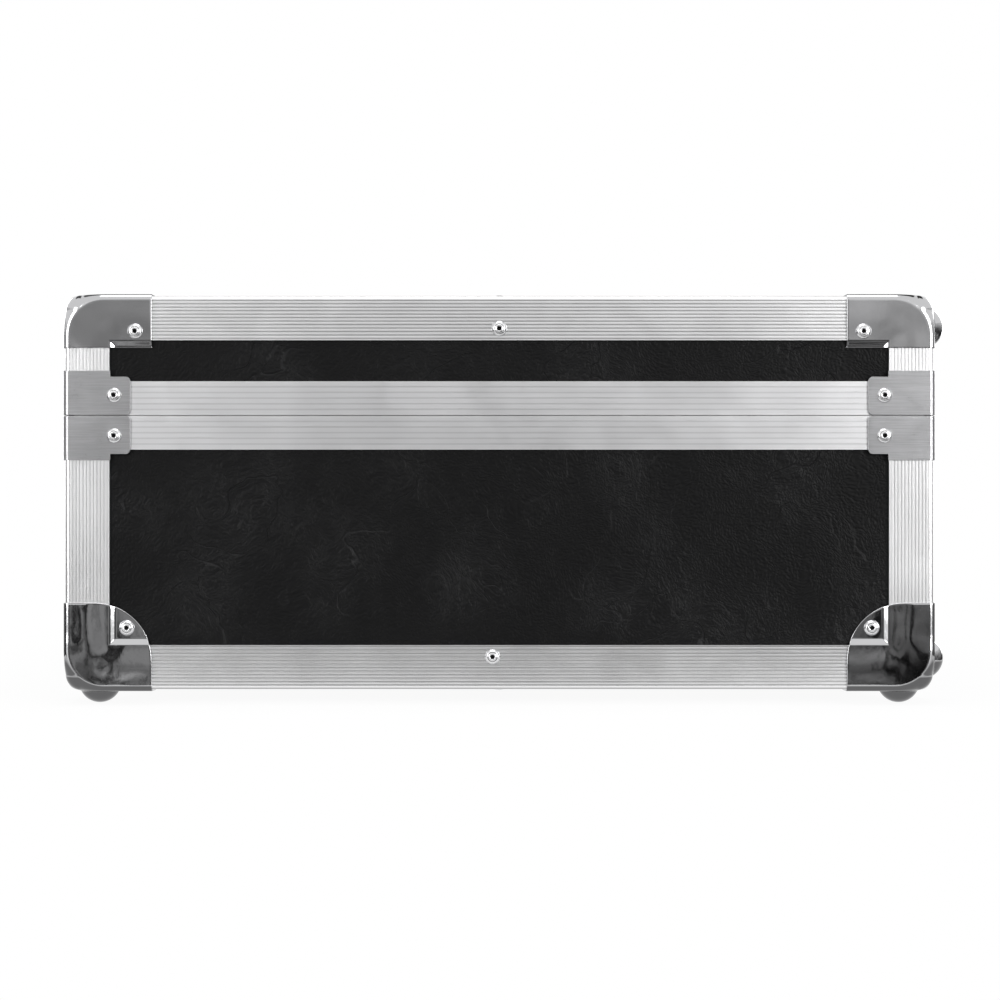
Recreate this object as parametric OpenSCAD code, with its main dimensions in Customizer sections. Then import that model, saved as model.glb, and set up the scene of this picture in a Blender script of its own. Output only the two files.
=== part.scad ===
// Hard case for a synthesizer: covered plywood panels in ribbed edge profiles, closing
// profiles with tongue and groove, pressed corner plates with foot domes, hinged lid,
// two twist latches and a folding handle.
// X runs along the case, the front is at -Y, and the foot domes stand on Z = 0.

/* [Case] */
// Length over the edge profiles
case_l = 780; // [620:5:1300]
// Depth over the edge profiles
case_d = 450; // [320:5:600]
// Height of the base, from its bottom profile to the split
base_h = 142; // [136:1:220]
// Height of the lid, from the split to its top profile
lid_h = 62; // [58:1:120]
// Gap between base and lid when shut
split_gap = 0.4; // [0.3:0.1:0.8]
// Thickness of the covered plywood panels
panel_t = 7; // [6:0.5:9]
// Thickness of the foam pads
foam_t = 10; // [5:1:20]

/* [Edge profiles] */
// Width of each leg
leg_w = 23; // [21:0.5:24]
// Wall of the legs
leg_t = 1.5; // [1.2:0.1:1.8]
// Radius of the outer edge
leg_r = 2; // [1:0.25:2.5]
// Distance between two grooves
rib_pitch = 1.84; // [1.6:0.02:3]
// Width of a groove
rib_gap = 0.7; // [0.5:0.05:1]
// Depth of a groove
rib_depth = 0.35; // [0.2:0.05:0.6]
// Flat between the rounded edge and the first groove
rib_margin = 0.15; // [0.1:0.05:2]

/* [Closing profiles] */
// Height of the outer leg
rim_h = 17.5; // [16.5:0.5:20]
// Height of the inner leg
rim_inner_h = 12; // [8:0.5:14]
// Wall of the inner leg
rim_inner_t = 1.2; // [1:0.1:2]
// Web of the base's profile, below the tongue
rim_web = 2; // [1.5:0.1:3]
// Width of the tongue
tongue_w = 2; // [1.5:0.1:2.5]
// Height of the tongue
tongue_h = 3; // [2:0.25:4]
// Distance from the outer face to the tongue
tongue_in = 4; // [3:0.25:5]
// Room between tongue and groove
tongue_clear = 0.7; // [0.6:0.05:1]
// Web of the lid's profile, above the groove
groove_floor = 1.5; // [1:0.1:3]
// Number of flutes on the outer leg
flute_n = 5; // [2:1:7]
// Width of a flute
flute_w = 0.8; // [0.5:0.1:1.2]
// Depth of a flute
flute_depth = 0.25; // [0.15:0.05:0.5]

/* [Corner plates] */
// Reach of a corner plate along each edge
plate_w = 45; // [42:1:55]
// Sheet thickness of the corner plates
plate_t = 1; // [0.8:0.1:1.2]
// Height of the lid's corner plates
lid_plate_h = 27; // [26:0.5:30]
// Radius of the ball at the corner
ball_r = 8.5; // [7:0.5:10]
// Radius of the rounded outline on the panel
plate_arc_r = 30; // [20:1:34]
// Width of the sloped step from the profile down to the panel
step_w = 2.2; // [1.5:0.1:3]
// Distance of the web rivets from both edges
web_rivet = 32; // [30:0.5:34]

/* [Feet] */
// Height of a foot above the profile
foot_h = 8; // [6:0.5:12]
// Radius of the foot dome at its base
foot_r = 10.3; // [8:0.1:12]
// Distance of a foot from both edges
foot_in = 15.4; // [15:0.1:22]

/* [Braces] */
// Reach of a brace along each face
brace_w = 34; // [32:0.5:40]
// Height of a brace over the upright profile
brace_h = 23; // [21:0.5:26]
// Height of the tab beside the upright profile
brace_tab_h = 19.8; // [18:0.2:21]
// Corner radius of the tab
brace_r = 2.5; // [1:0.25:4]
// Sheet thickness of the braces
brace_t = 1; // [0.8:0.1:1.5]

/* [Rivets] */
// Shank diameter
rivet_d = 4; // [3.2:0.1:4.8]
// Head diameter
rivet_head_d = 8; // [6.5:0.1:8.4]
// Head height
rivet_head_h = 1.7; // [1.2:0.1:2]
// Room round a shank in its hole
rivet_clear = 0.1; // [0.05:0.05:0.2]
// Diameter of the mandrel hole in the head
mandrel_d = 2; // [1.5:0.1:2.4]

/* [Hinges] */
// Length of a hinge
hinge_l = 60; // [40:2:80]
// Height of a leaf on the closing profile
leaf_h = 16.3; // [15:0.1:16.5]
// Sheet thickness of the leaves
leaf_t = 1.2; // [1:0.1:1.5]
// Radius of the knuckles
knuckle_r = 2.6; // [2.4:0.1:3]
// Radius of the hinge pin
hinge_pin_r = 1.25; // [1:0.05:1.4]
// Distance of the outer hinges from the middle
hinge_x = 250; // [180:5:500]

/* [Latches] */
// Distance of a latch from the middle
latch_x = 235; // [140:5:500]
// Width of the latch plate
latch_w = 34; // [32:1:44]
// Tilt of the hook when it is let go
hook_tilt = 5; // [4:0.5:6]

/* [Handle] */
// Distance between the middles of the two arms
handle_w = 124; // [110:2:150]
// Distance from the pivot to the middle of the grip
handle_drop = 42; // [38:1:45]
// Radius of the grip
grip_r = 9.5; // [8:0.5:11]

/* [Hidden] */
$fn = 48;

// Overrun of cuts past the faces that they open
over = 1;
// Facets of a hull's own round children
hull_fn = 32;

// Room between the hanging grip and the panel
grip_gap = 1;

// Places of the case
hl = case_l / 2;
hd = case_d / 2;
front_reach = grip_r * 2 + grip_gap - leg_t;
y_mid = (front_reach - foot_h) / 2;
z_bot = foot_h;
z_split = z_bot + base_h;
z_top = z_split + lid_h;
panel_x = hl - leg_t;
panel_y = hd - leg_t;
wall_x = panel_x - panel_t;
wall_y = panel_y - panel_t;
rim_d = leg_t + panel_t + rim_inner_t;
lid_web = tongue_h + tongue_clear + groove_floor;
base_wall_z0 = z_bot + leg_t + panel_t;
base_wall_z1 = z_split - split_gap / 2 - rim_web;
lid_wall_z0 = z_split + split_gap / 2 + lid_web;
lid_wall_z1 = z_top - leg_t - panel_t;

// Where the profiles end under the corner plates
plate_lap = 5.5;
cut_back = plate_w - plate_lap;
lid_cut_back = lid_plate_h - plate_lap;
// Plane cut on the panels' corners under the ball, just short of the walls' inner corner
ball_trim_shy = 0.6;
ball_trim = 3 * leg_t + 2 * panel_t - ball_trim_shy;
// Room beside the profile's legs under the plates
plate_side = 0.6;
plate_slope_shift = 0.4;
// Where a plate's edge has come down from the ball to the profile's radius
ball_run = 20;

// Feet
foot_tip = 0.25;
foot_blend = 1.2;

// Rivets
rivet_deep = 6.5;
rivet_bottom = 0.5;
brace_rivet_in = 25.6;
rim_rivet_in = 10.5;
edge_rivet_in = 17;
lid_leg_rivet_in = 36.5;
lid_leg_rivet_down = 18.4;
mid_rivet_shift = 3.5;
long_rivet_shares = [-0.375, -0.125, 0.125, 0.375];
mandrel_deep = 1.3;

// Hinges
hinge_off = knuckle_r + 0.2 * leaf_t;
hinge_clear = 0.3;
pin_room = 0.1;
knuckle_keep = 0.6;
nose_t = 1.6;
nose_r = 4.6;
lid_open = 105;
nose_spare = 1;
leaf_rivet_share = 0.38;
hinge_rivet_up = 10.5;

// Latch heights are measured from the split and depths from the profile's face
latch_plate_t = 1.5;
latch_top = 1.5;
latch_low = 56;
latch_joggle = 18.4;
latch_rivet_x = 12.7;
latch_rivet_up = 8;
latch_rivet_low = 50.5;
rotor_z = -27;
rotor_stub_r = 4;
rotor_boss_r = 5.5;
rotor_head_r = 8;
rotor_head_d = 7.4;
rotor_head_t = 1.8;
rotor_ear_x = 6;
rotor_ear_t = 1.8;
rotor_ear_w = 4;
latch_room = 0.3;
hook_hole_room = 1.2;
wing_pin_d = 11.2;
wing_pin_r = 1;
wing_knuckle_r = 1.9;
wing_t = 2;
wing_lobe_r = 6.5;
wing_lobe_x = 7;
wing_lobe_z = 8.5;
wing_neck = 3.2;
hook_pin_z = -40;
hook_pin_d = 3.6;
hook_pin_r = 1.5;
hook_eye_r = 3;
hook_w = 20;
hook_claw_w = 16;
hook_t = 2;
hook_in = 2.6;
hook_crank_z = -7;
hook_crank_run = 5;
hook_out = 5.6;
claw_in = 2.4;
lip_z = 8;
lip_t = 2;
lip_d = 5;
lip_w = 14;
lip_room = 0.3;
hook_ear_x = 10.4;
hook_ear_t = 2;
hook_ear_r = 3.2;
strike_top = 16.5;
strike_rivet_up = 9;

// Handle heights are measured from the base's bottom profile
handle_z = 95;
grip_d = grip_gap + grip_r - leg_t;
arm_t = 6;
arm_eye_r = 5.2;
arm_w = 8;
arm_low_r = 7;
handle_pin_r = 2.5;
bracket_w = 34;
bracket_h = 42;
bracket_t = 2;
handle_pivot_d = arm_eye_r + bracket_t - leg_t + latch_room;
bracket_r = 6;
bracket_ear_t = 2.5;
bracket_ear_r = 6.5;
bracket_ear_neck = 8;
bracket_rivet_x = 11.5;
bracket_rivet_z = 15;
core_r = 4;
grip_rings = 6;
grip_ring_deep = 0.8;
grip_ring_w = 3;
grip_end_r = 2;

// Foam
foam_top_gap = 0.5;
foam_side_gap = 0.3;

// Placing

// Puts a shape drawn at the corner 0,0 with its inside towards +X and +Y at a case corner
module at_corner(sx, sy) {
    translate([sx * hl, y_mid + sy * hd, 0])
        mirror([sx > 0 ? 1 : 0, 0, 0])
            mirror([0, sy > 0 ? 1 : 0, 0])
                children();
}

// Face numbers: 0 left end, 1 right end, 2 front, 3 rear, 4 bottom, 5 top
// Local X and Y run along the face and local Z points outward
module on_face(f) {
    if (f == 0) mirror([1, 0, 0]) translate([hl, y_mid, 0]) rotate([90, 0, 90]) children();
    if (f == 1) translate([hl, y_mid, 0]) rotate([90, 0, 90]) children();
    if (f == 2) translate([0, y_mid - hd, 0]) rotate([90, 0, 0]) children();
    if (f == 3) translate([0, y_mid + hd, 0]) mirror([0, 1, 0]) rotate([90, 0, 0]) children();
    if (f == 4) translate([0, y_mid, z_bot]) mirror([0, 0, 1]) children();
    if (f == 5) translate([0, y_mid, z_top]) children();
}

// Rivet places: face, place along it, place up or across it, height of the seat
plate_seat = plate_t - leg_t;
base_spots = concat(
    [for (f = [0, 1], s = [-1, 1]) [f, s * (hd - brace_rivet_in), z_split - rim_rivet_in, brace_t]],
    [for (f = [2, 3], s = [-1, 1]) [f, s * (hl - brace_rivet_in), z_split - rim_rivet_in, brace_t]],
    [for (f = [0, 1], s = [-1, 1]) [f, s * (hd - web_rivet), z_bot + web_rivet, plate_seat]],
    [for (f = [2, 3], s = [-1, 1]) [f, s * (hl - web_rivet), z_bot + web_rivet, plate_seat]],
    [for (s = [-1, 1], t = [-1, 1]) [4, s * (hl - web_rivet), t * (hd - web_rivet), plate_seat]],
    [for (f = [0, 1]) [f, -mid_rivet_shift, z_bot + edge_rivet_in, 0]],
    [for (f = [2, 3], k = long_rivet_shares) [f, k * case_l, z_bot + edge_rivet_in, 0]],
    [for (t = [-1, 1], k = long_rivet_shares) [4, k * case_l, t * (hd - edge_rivet_in), 0]],
    [for (s = [-1, 1]) [4, s * (hl - edge_rivet_in), 0, 0]],
    [for (s = [-1, 0, 1], t = [-1, 1])
        [3, s * hinge_x + t * hinge_l * leaf_rivet_share, z_split - hinge_rivet_up, leaf_t]],
    [for (s = [-1, 1], t = [-1, 1])
        [2, s * latch_x + t * latch_rivet_x, z_split - latch_rivet_up, latch_plate_t]],
    [for (s = [-1, 1], t = [-1, 1])
        [2, s * latch_x + t * latch_rivet_x, z_split - latch_rivet_low, latch_plate_t - leg_t]],
    [for (s = [-1, 1], t = [-1, 1], v = [-1, 1])
        [2, s * handle_w / 2 + t * bracket_rivet_x, z_bot + handle_z + v * bracket_rivet_z,
            bracket_t - leg_t]]);

lid_spots = concat(
    [for (f = [0, 1], s = [-1, 1]) [f, s * (hd - brace_rivet_in), z_split + rim_rivet_in, brace_t]],
    [for (f = [2, 3], s = [-1, 1]) [f, s * (hl - brace_rivet_in), z_split + rim_rivet_in, brace_t]],
    [for (f = [0, 1], s = [-1, 1])
        [f, s * (hd - lid_leg_rivet_in), z_top - lid_leg_rivet_down, plate_t]],
    [for (f = [2, 3], s = [-1, 1])
        [f, s * (hl - lid_leg_rivet_in), z_top - lid_leg_rivet_down, plate_t]],
    [for (s = [-1, 1], t = [-1, 1]) [5, s * (hl - web_rivet), t * (hd - web_rivet), plate_seat]],
    [for (f = [0, 1]) [f, 0, z_top - edge_rivet_in, 0]],
    [for (f = [2, 3], k = long_rivet_shares) [f, k * case_l, z_top - edge_rivet_in, 0]],
    [for (t = [-1, 1], k = long_rivet_shares) [5, k * case_l, t * (hd - edge_rivet_in), 0]],
    [for (s = [-1, 1]) [5, s * (hl - edge_rivet_in), 0, 0]],
    [for (s = [-1, 0, 1], t = [-1, 1])
        [3, s * hinge_x + t * hinge_l * leaf_rivet_share, z_split + hinge_rivet_up, leaf_t]],
    [for (s = [-1, 1], t = [-1, 1])
        [2, s * latch_x + t * latch_rivet_x, z_split + strike_rivet_up, latch_plate_t]]);

// Rivets and their holes

// Blind rivet with a domed head, drawn with the head's seat at 0
module rivet(deep) {
    cap_r = (pow(rivet_head_d / 2, 2) + pow(rivet_head_h, 2)) / (2 * rivet_head_h);
    rotate_extrude()
        difference() {
            union() {
                intersection() {
                    translate([0, rivet_head_h - cap_r]) circle(cap_r);
                    square([rivet_head_d / 2, rivet_head_h + over]);
                }
                translate([0, -deep]) square([rivet_d / 2, deep + rivet_head_h / 4]);
            }
            translate([-over, rivet_head_h - mandrel_deep])
                square([mandrel_d / 2 + over, mandrel_deep + over]);
        }
}

module rivets(spots) {
    for (s = spots)
        on_face(s[0])
            translate([s[1], s[2], s[3]])
                rivet(rivet_deep + s[3]);
}

module holes(spots, faces) {
    for (s = spots)
        if (len([for (f = faces) if (f == s[0]) f]) > 0)
            on_face(s[0])
                translate([s[1], s[2], -rivet_deep - rivet_bottom])
                    cylinder(r = rivet_d / 2 + rivet_clear, h = rivet_deep + rivet_bottom + s[3] + over);
}

// Panels

// Plane cuts that clear the panels' corners for the pressed balls
module ball_trims(z, up) {
    for (sx = [-1, 1], sy = [-1, 1])
        at_corner(sx, sy)
            translate([0, 0, z])
                mirror([0, 0, up ? 0 : 1])
                    rotate([0, acos(1 / sqrt(3)), 45])
                        translate([-ball_trim, -ball_trim, ball_trim / sqrt(3) - ball_trim])
                            cube([ball_trim * 2, ball_trim * 2, ball_trim]);
}

module flat_panel(z) {
    translate([-panel_x, y_mid - panel_y, z]) cube([panel_x * 2, panel_y * 2, panel_t]);
}

module long_panel(s, z0, z1) {
    translate([-panel_x, y_mid + s * (panel_y - panel_t / 2) - panel_t / 2, z0])
        cube([panel_x * 2, panel_t, z1 - z0]);
}

module end_panel(s, z0, z1) {
    translate([s * (panel_x - panel_t / 2) - panel_t / 2, y_mid - wall_y, z0])
        cube([panel_t, wall_y * 2, z1 - z0]);
}

module base_panel(faces) {
    color([0.08, 0.08, 0.08])
        difference() {
            children();
            holes(base_spots, faces);
            ball_trims(z_bot, true);
        }
}

module lid_panel(faces) {
    color([0.08, 0.08, 0.08])
        difference() {
            children();
            holes(lid_spots, faces);
            ball_trims(z_top, false);
        }
}

// Edge profiles

rib_first = leg_r + rib_margin + rib_gap / 2;
rib_n = 1 + round((leg_w - 2 * rib_first) / rib_pitch);
rib_step = (leg_w - 2 * rib_first) / (rib_n - 1);
rib_at = [for (i = [0 : rib_n - 1]) rib_first + i * rib_step];
edge_arc_n = 6;

// L section with its outer corner at 0,0 and grooves in both outer faces
module edge_section() {
    polygon(concat(
        [for (i = [0 : edge_arc_n]) let (a = 180 + 90 * i / edge_arc_n)
            [leg_r + leg_r * cos(a), leg_r + leg_r * sin(a)]],
        [for (x = rib_at) each [[x - rib_gap / 2, 0], [x - rib_gap / 2, rib_depth],
            [x + rib_gap / 2, rib_depth], [x + rib_gap / 2, 0]]],
        [[leg_w, 0], [leg_w, leg_t], [leg_t, leg_t], [leg_t, leg_w], [0, leg_w]],
        [for (i = [rib_n - 1 : -1 : 0]) let (y = rib_at[i])
            each [[0, y + rib_gap / 2], [rib_depth, y + rib_gap / 2],
                [rib_depth, y - rib_gap / 2], [0, y - rib_gap / 2]]]));
}

// Profile along X at the front or rear edge; z is its outer face, up its leg's direction
module long_edge(s, z, up) {
    translate([cut_back - hl, y_mid + s * hd, z])
        mirror([0, s > 0 ? 1 : 0, 0])
            mirror([0, 0, up ? 0 : 1])
                rotate([90, 0, 90])
                    linear_extrude(case_l - 2 * cut_back) edge_section();
}

// Profile along Y at the left or right edge
module end_edge(s, z, up) {
    translate([s * hl, y_mid + hd - cut_back, z])
        mirror([s > 0 ? 1 : 0, 0, 0])
            mirror([0, 0, up ? 0 : 1])
                rotate([90, 0, 0])
                    linear_extrude(case_d - 2 * cut_back) edge_section();
}

module base_edge(faces) {
    color([0.8, 0.8, 0.8]) difference() { children(); holes(base_spots, faces); }
}

module lid_edge(faces) {
    color([0.8, 0.8, 0.8]) difference() { children(); holes(lid_spots, faces); }
}

module uprights(z0, z1) {
    for (sx = [-1, 1], sy = [-1, 1])
        at_corner(sx, sy)
            translate([0, 0, z0]) linear_extrude(z1 - z0) edge_section();
}

module base_uprights() {
    color([0.8, 0.8, 0.8])
        uprights(z_bot + cut_back, z_split - split_gap / 2 - rim_h);
}

module lid_uprights() {
    color([0.8, 0.8, 0.8])
        uprights(z_split + split_gap / 2 + rim_h, z_top - lid_cut_back);
}

// Closing profiles

flute_step = rim_h / (flute_n + 1);
flute_cuts = [for (i = [1 : flute_n]) i * flute_step];

// Outer face of a closing profile with its flutes, from the split outward
module rim_flutes() {
    for (y = flute_cuts)
        translate([-over, y - flute_w / 2]) square([over + flute_depth, flute_w]);
}

// Section of the base's profile: 0,0 is its outer edge at the split, Y runs away from the split
module base_rim_section() {
    difference() {
        polygon([[0, 0], [0, rim_h], [leg_t, rim_h], [leg_t, rim_web],
            [leg_t + panel_t, rim_web], [leg_t + panel_t, rim_inner_h],
            [rim_d, rim_inner_h], [rim_d, 0],
            [tongue_in + tongue_w, 0], [tongue_in + tongue_w, -tongue_h],
            [tongue_in, -tongue_h], [tongue_in, 0]]);
        rim_flutes();
    }
}

// Section of the lid's profile, with the groove that takes the tongue
module lid_rim_section() {
    difference() {
        polygon([[0, 0], [0, rim_h], [leg_t, rim_h], [leg_t, lid_web],
            [leg_t + panel_t, lid_web], [leg_t + panel_t, rim_inner_h],
            [rim_d, rim_inner_h], [rim_d, 0],
            [tongue_in + tongue_w + tongue_clear, 0],
            [tongue_in + tongue_w + tongue_clear, tongue_h + tongue_clear],
            [tongue_in - tongue_clear, tongue_h + tongue_clear],
            [tongue_in - tongue_clear, 0]]);
        rim_flutes();
    }
}

// Plan of the case with its rounded upright edges
module case_plan() {
    for (sx = [-1, 1], sy = [-1, 1])
        translate([sx * (hl - leg_r), sy * (hd - leg_r)]) circle(leg_r);
    square([case_l - 2 * leg_r, case_d], center = true);
    square([case_l, case_d - 2 * leg_r], center = true);
}

// One mitred side of a closing frame; x_way tells if it runs along X
module rim_run(x_way, s, z, up) {
    run = x_way ? case_l : case_d;
    far = x_way ? hd : hl;
    half = run / 2;
    translate([0, y_mid, z])
        intersection() {
            rotate([0, 0, x_way ? 0 : 90])
                translate([-half, (x_way ? s : -s) * far, 0])
                    mirror([0, (x_way ? s : -s) > 0 ? 1 : 0, 0])
                        mirror([0, 0, up ? 0 : 1])
                            rotate([90, 0, 90])
                                linear_extrude(run) children();
            translate([0, 0, -rim_h - tongue_h])
                linear_extrude(2 * (rim_h + tongue_h))
                    intersection() {
                        case_plan();
                        rotate([0, 0, x_way ? 0 : 90])
                            mirror([0, (x_way ? s : -s) > 0 ? 1 : 0])
                                polygon([[-half, -far], [half, -far],
                                    [half - far, 0], [far - half, 0]]);
                    }
        }
}

module base_rim(x_way, s, faces) {
    color([0.74, 0.74, 0.74])
        difference() {
            rim_run(x_way, s, z_split - split_gap / 2, false) base_rim_section();
            holes(base_spots, faces);
        }
}

module lid_rim(x_way, s, faces) {
    color([0.74, 0.74, 0.74])
        difference() {
            rim_run(x_way, s, z_split + split_gap / 2, true) lid_rim_section();
            holes(lid_spots, faces);
        }
}

// Corner plates

ball_in = ball_r - plate_t;

// Solid up to one surface of a corner plate: grow is 0 for the inner one and plate_t outside
module plate_body(reach, grow) {
    r = leg_r + grow;
    hull() {
        translate([ball_in, ball_in, ball_in]) sphere(ball_in + grow, $fn = hull_fn);
        translate([leg_r, leg_r, ball_run]) cylinder(r = r, h = reach[2] - ball_run, $fn = hull_fn);
        translate([ball_run, leg_r, leg_r])
            rotate([0, 90, 0]) cylinder(r = r, h = reach[0] - ball_run, $fn = hull_fn);
        translate([leg_r, ball_run, leg_r])
            rotate([-90, 0, 0]) cylinder(r = r, h = reach[1] - ball_run, $fn = hull_fn);
        translate([ball_run, ball_run, -grow])
            cube([reach[0] - ball_run, reach[1] - ball_run, plate_t]);
        translate([-grow, ball_run, ball_run])
            cube([plate_t, reach[1] - ball_run, reach[2] - ball_run]);
        translate([ball_run, -grow, ball_run])
            cube([reach[0] - ball_run, plate_t, reach[2] - ball_run]);
    }
}

// Section of the sloped step from the profile's face down to the panel
module step_section(grow, shift) {
    far = plate_w * 2;
    start = leg_w + plate_side - shift;
    polygon([[start, -grow - over], [start, -grow], [start + step_w, leg_t - grow],
        [far, leg_t - grow], [far, -grow - over]]);
}

// What is pressed down beside the profiles on the face Z = 0
module pressed_web(grow, shift) {
    far = plate_w * 2;
    intersection() {
        translate([0, far, 0]) rotate([90, 0, 0]) linear_extrude(far) step_section(grow, shift);
        rotate([90, 0, 90]) linear_extrude(far) step_section(grow, shift);
    }
}

// Turns the face Z = 0 of a corner to its next face, n times
module turned(n) {
    if (n == 0) children();
    else rotate([90, 0, 90]) turned(n - 1) children();
}

// Cut that rounds the outline of the web on the face Z = 0
module outline_cut(reach) {
    far = plate_w * 2;
    translate([0, 0, -plate_t - over])
        linear_extrude(leg_t + plate_t + 2 * over)
            difference() {
                translate([reach - plate_arc_r, reach - plate_arc_r]) square([far, far]);
                translate([reach - plate_arc_r, reach - plate_arc_r]) circle(plate_arc_r);
            }
}

module foot_dome() {
    height = foot_h - plate_t;
    cap = height + foot_tip;
    cap_r = (foot_r * foot_r + cap * cap) / (2 * cap);
    mirror([0, 0, 1])
        translate([0, 0, plate_t])
            rotate_extrude()
                union() {
                    intersection() {
                        translate([0, cap - cap_r]) circle(cap_r);
                        translate([0, -plate_t / 2]) square([foot_r, height + plate_t / 2]);
                    }
                    difference() {
                        translate([0, -plate_t / 2])
                            square([foot_r + foot_blend, foot_blend + plate_t / 2]);
                        translate([foot_r + foot_blend, foot_blend]) circle(foot_blend);
                    }
                }
}

// Pressed plate with its corner at 0,0,0 and its three faces on the planes
module corner_plate(reach, side_arcs) {
    past = [reach[0] + over, reach[1] + over, reach[2] + over];
    difference() {
        plate_body(reach, plate_t);
        for (n = [0 : 2]) turned(n) pressed_web(plate_t, 0);
        difference() {
            plate_body(past, 0);
            for (n = [0 : 2]) turned(n) pressed_web(0, plate_slope_shift);
        }
        for (n = [0 : side_arcs ? 2 : 0]) turned(n) outline_cut(plate_w);
    }
}

module base_corner(sx, sy) {
    difference() {
        at_corner(sx, sy)
            translate([0, 0, z_bot]) {
                corner_plate([plate_w, plate_w, plate_w], true);
                translate([foot_in, foot_in, 0]) foot_dome();
                if (sy > 0)
                    translate([foot_in, 0, foot_in]) rotate([-90, 0, 0]) foot_dome();
            }
        holes(base_spots, [sx < 0 ? 0 : 1, sy < 0 ? 2 : 3, 4]);
    }
}

module lid_corner(sx, sy) {
    difference() {
        at_corner(sx, sy)
            translate([0, 0, z_top])
                mirror([0, 0, 1]) {
                    corner_plate([plate_w, plate_w, lid_plate_h], false);
                    if (sy > 0)
                        translate([foot_in, 0, foot_in]) rotate([-90, 0, 0]) foot_dome();
                }
        holes(lid_spots, [sx < 0 ? 0 : 1, sy < 0 ? 2 : 3, 5]);
    }
}

module base_corners_front() {
    color([0.62, 0.62, 0.64]) for (sx = [-1, 1]) base_corner(sx, -1);
}

module base_corners_rear() {
    color([0.62, 0.62, 0.64]) for (sx = [-1, 1]) base_corner(sx, 1);
}

module lid_corners_front() {
    color([0.62, 0.62, 0.64]) for (sx = [-1, 1]) lid_corner(sx, -1);
}

module lid_corners_rear() {
    color([0.62, 0.62, 0.64]) for (sx = [-1, 1]) lid_corner(sx, 1);
}

// Braces over the mitres of the closing profiles

// Side view of a brace: the split is at Y = 0 and the case's edge at X = 0
module brace_side() {
    wide = leg_w + plate_side;
    translate([-brace_t - leg_r, 0]) square([wide + brace_t + leg_r, brace_h]);
    square([brace_w - brace_r, brace_tab_h]);
    translate([0, brace_r]) square([brace_w, brace_tab_h - 2 * brace_r]);
    for (y = [brace_r, brace_tab_h - brace_r])
        translate([brace_w - brace_r, y]) circle(brace_r);
}

// Plan of the bent strip round the case's upright edge
module brace_plan() {
    module block(grow) {
        translate([leg_r, leg_r]) circle(leg_r + grow);
        translate([leg_r, -grow]) square([brace_w, brace_w]);
        translate([-grow, leg_r]) square([brace_w, brace_w]);
    }
    difference() {
        block(brace_t);
        block(0);
    }
}

module brace() {
    intersection() {
        linear_extrude(brace_h) brace_plan();
        translate([0, brace_w, 0])
            rotate([90, 0, 0]) linear_extrude(brace_w * 2) brace_side();
        translate([-brace_w, 0, 0])
            rotate([90, 0, 90]) linear_extrude(brace_w * 2) brace_side();
    }
}

module braces(up, spots) {
    color([0.66, 0.66, 0.66])
        difference() {
            for (sx = [-1, 1], sy = [-1, 1])
                at_corner(sx, sy)
                    translate([0, 0, z_split + (up ? 1 : -1) * split_gap / 2])
                        mirror([0, 0, up ? 0 : 1])
                            brace();
            holes(spots, [0, 1, 2, 3]);
        }
}

// Foam

module floor_pad(z) {
    translate([-wall_x, y_mid - wall_y, z]) cube([wall_x * 2, wall_y * 2, foam_t]);
}

module wall_pads(z0, z1) {
    pad_y = wall_y - foam_t - foam_side_gap;
    for (s = [-1, 1]) {
        translate([-wall_x, y_mid + s * (wall_y - foam_t / 2) - foam_t / 2, z0])
            cube([wall_x * 2, foam_t, z1 - z0]);
        translate([s * (wall_x - foam_t / 2) - foam_t / 2, y_mid - pad_y, z0])
            cube([foam_t, pad_y * 2, z1 - z0]);
    }
}

base_pad_z1 = z_split - split_gap / 2 - rim_inner_h - foam_top_gap;
lid_pad_z0 = z_split + split_gap / 2 + rim_inner_h + foam_top_gap;

// Handle, drawn on the front face with its heights from the base's bottom profile

module at_handle() {
    on_face(2) translate([0, z_bot + handle_z, 0]) children();
}

// Turns a shape drawn as a side view, with depth to the right, to stand along X
module side_view(width) {
    rotate([0, -90, 0]) translate([0, 0, -width / 2]) linear_extrude(width) children();
}

module round_plate(w, h, r) {
    square([w - 2 * r, h], center = true);
    square([w, h - 2 * r], center = true);
    for (sx = [-1, 1], sy = [-1, 1])
        translate([sx * (w / 2 - r), sy * (h / 2 - r)]) circle(r);
}

module handle_brackets() {
    ear_x = arm_t / 2 + latch_room + bracket_ear_t / 2;
    color([0.7, 0.7, 0.7])
        difference() {
            at_handle()
                for (s = [-1, 1])
                    translate([s * handle_w / 2, 0, 0]) {
                        translate([0, 0, -leg_t]) linear_extrude(bracket_t)
                            round_plate(bracket_w, bracket_h, bracket_r);
                        for (t = [-1, 1])
                            translate([t * ear_x, 0, 0])
                                difference() {
                                    side_view(bracket_ear_t)
                                        union() {
                                            translate([handle_pivot_d, 0]) circle(bracket_ear_r);
                                            translate([bracket_t / 2 - leg_t, -bracket_ear_neck / 2])
                                                square([handle_pivot_d, bracket_ear_neck]);
                                        }
                                    ear_trim();
                                    handle_bore(handle_pin_r + rivet_clear);
                                }
                    }
            holes(base_spots, [2]);
        }
}

// Keeps an ear's round end clear of the panel behind its plate
module ear_trim() {
    big = bracket_w;
    translate([-big / 2, -big / 2, -big - leg_t]) cube([big, big, big]);
}

module handle_bore(r) {
    translate([-bracket_w / 2, 0, handle_pivot_d])
        rotate([0, 90, 0]) cylinder(r = r, h = bracket_w);
}

module handle_pins() {
    half = arm_t / 2 + latch_room + bracket_ear_t;
    color([0.6, 0.6, 0.6])
        at_handle()
            for (s = [-1, 1])
                translate([s * handle_w / 2 - half, 0, handle_pivot_d])
                    rotate([0, 90, 0]) cylinder(r = handle_pin_r, h = 2 * half);
}

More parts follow.
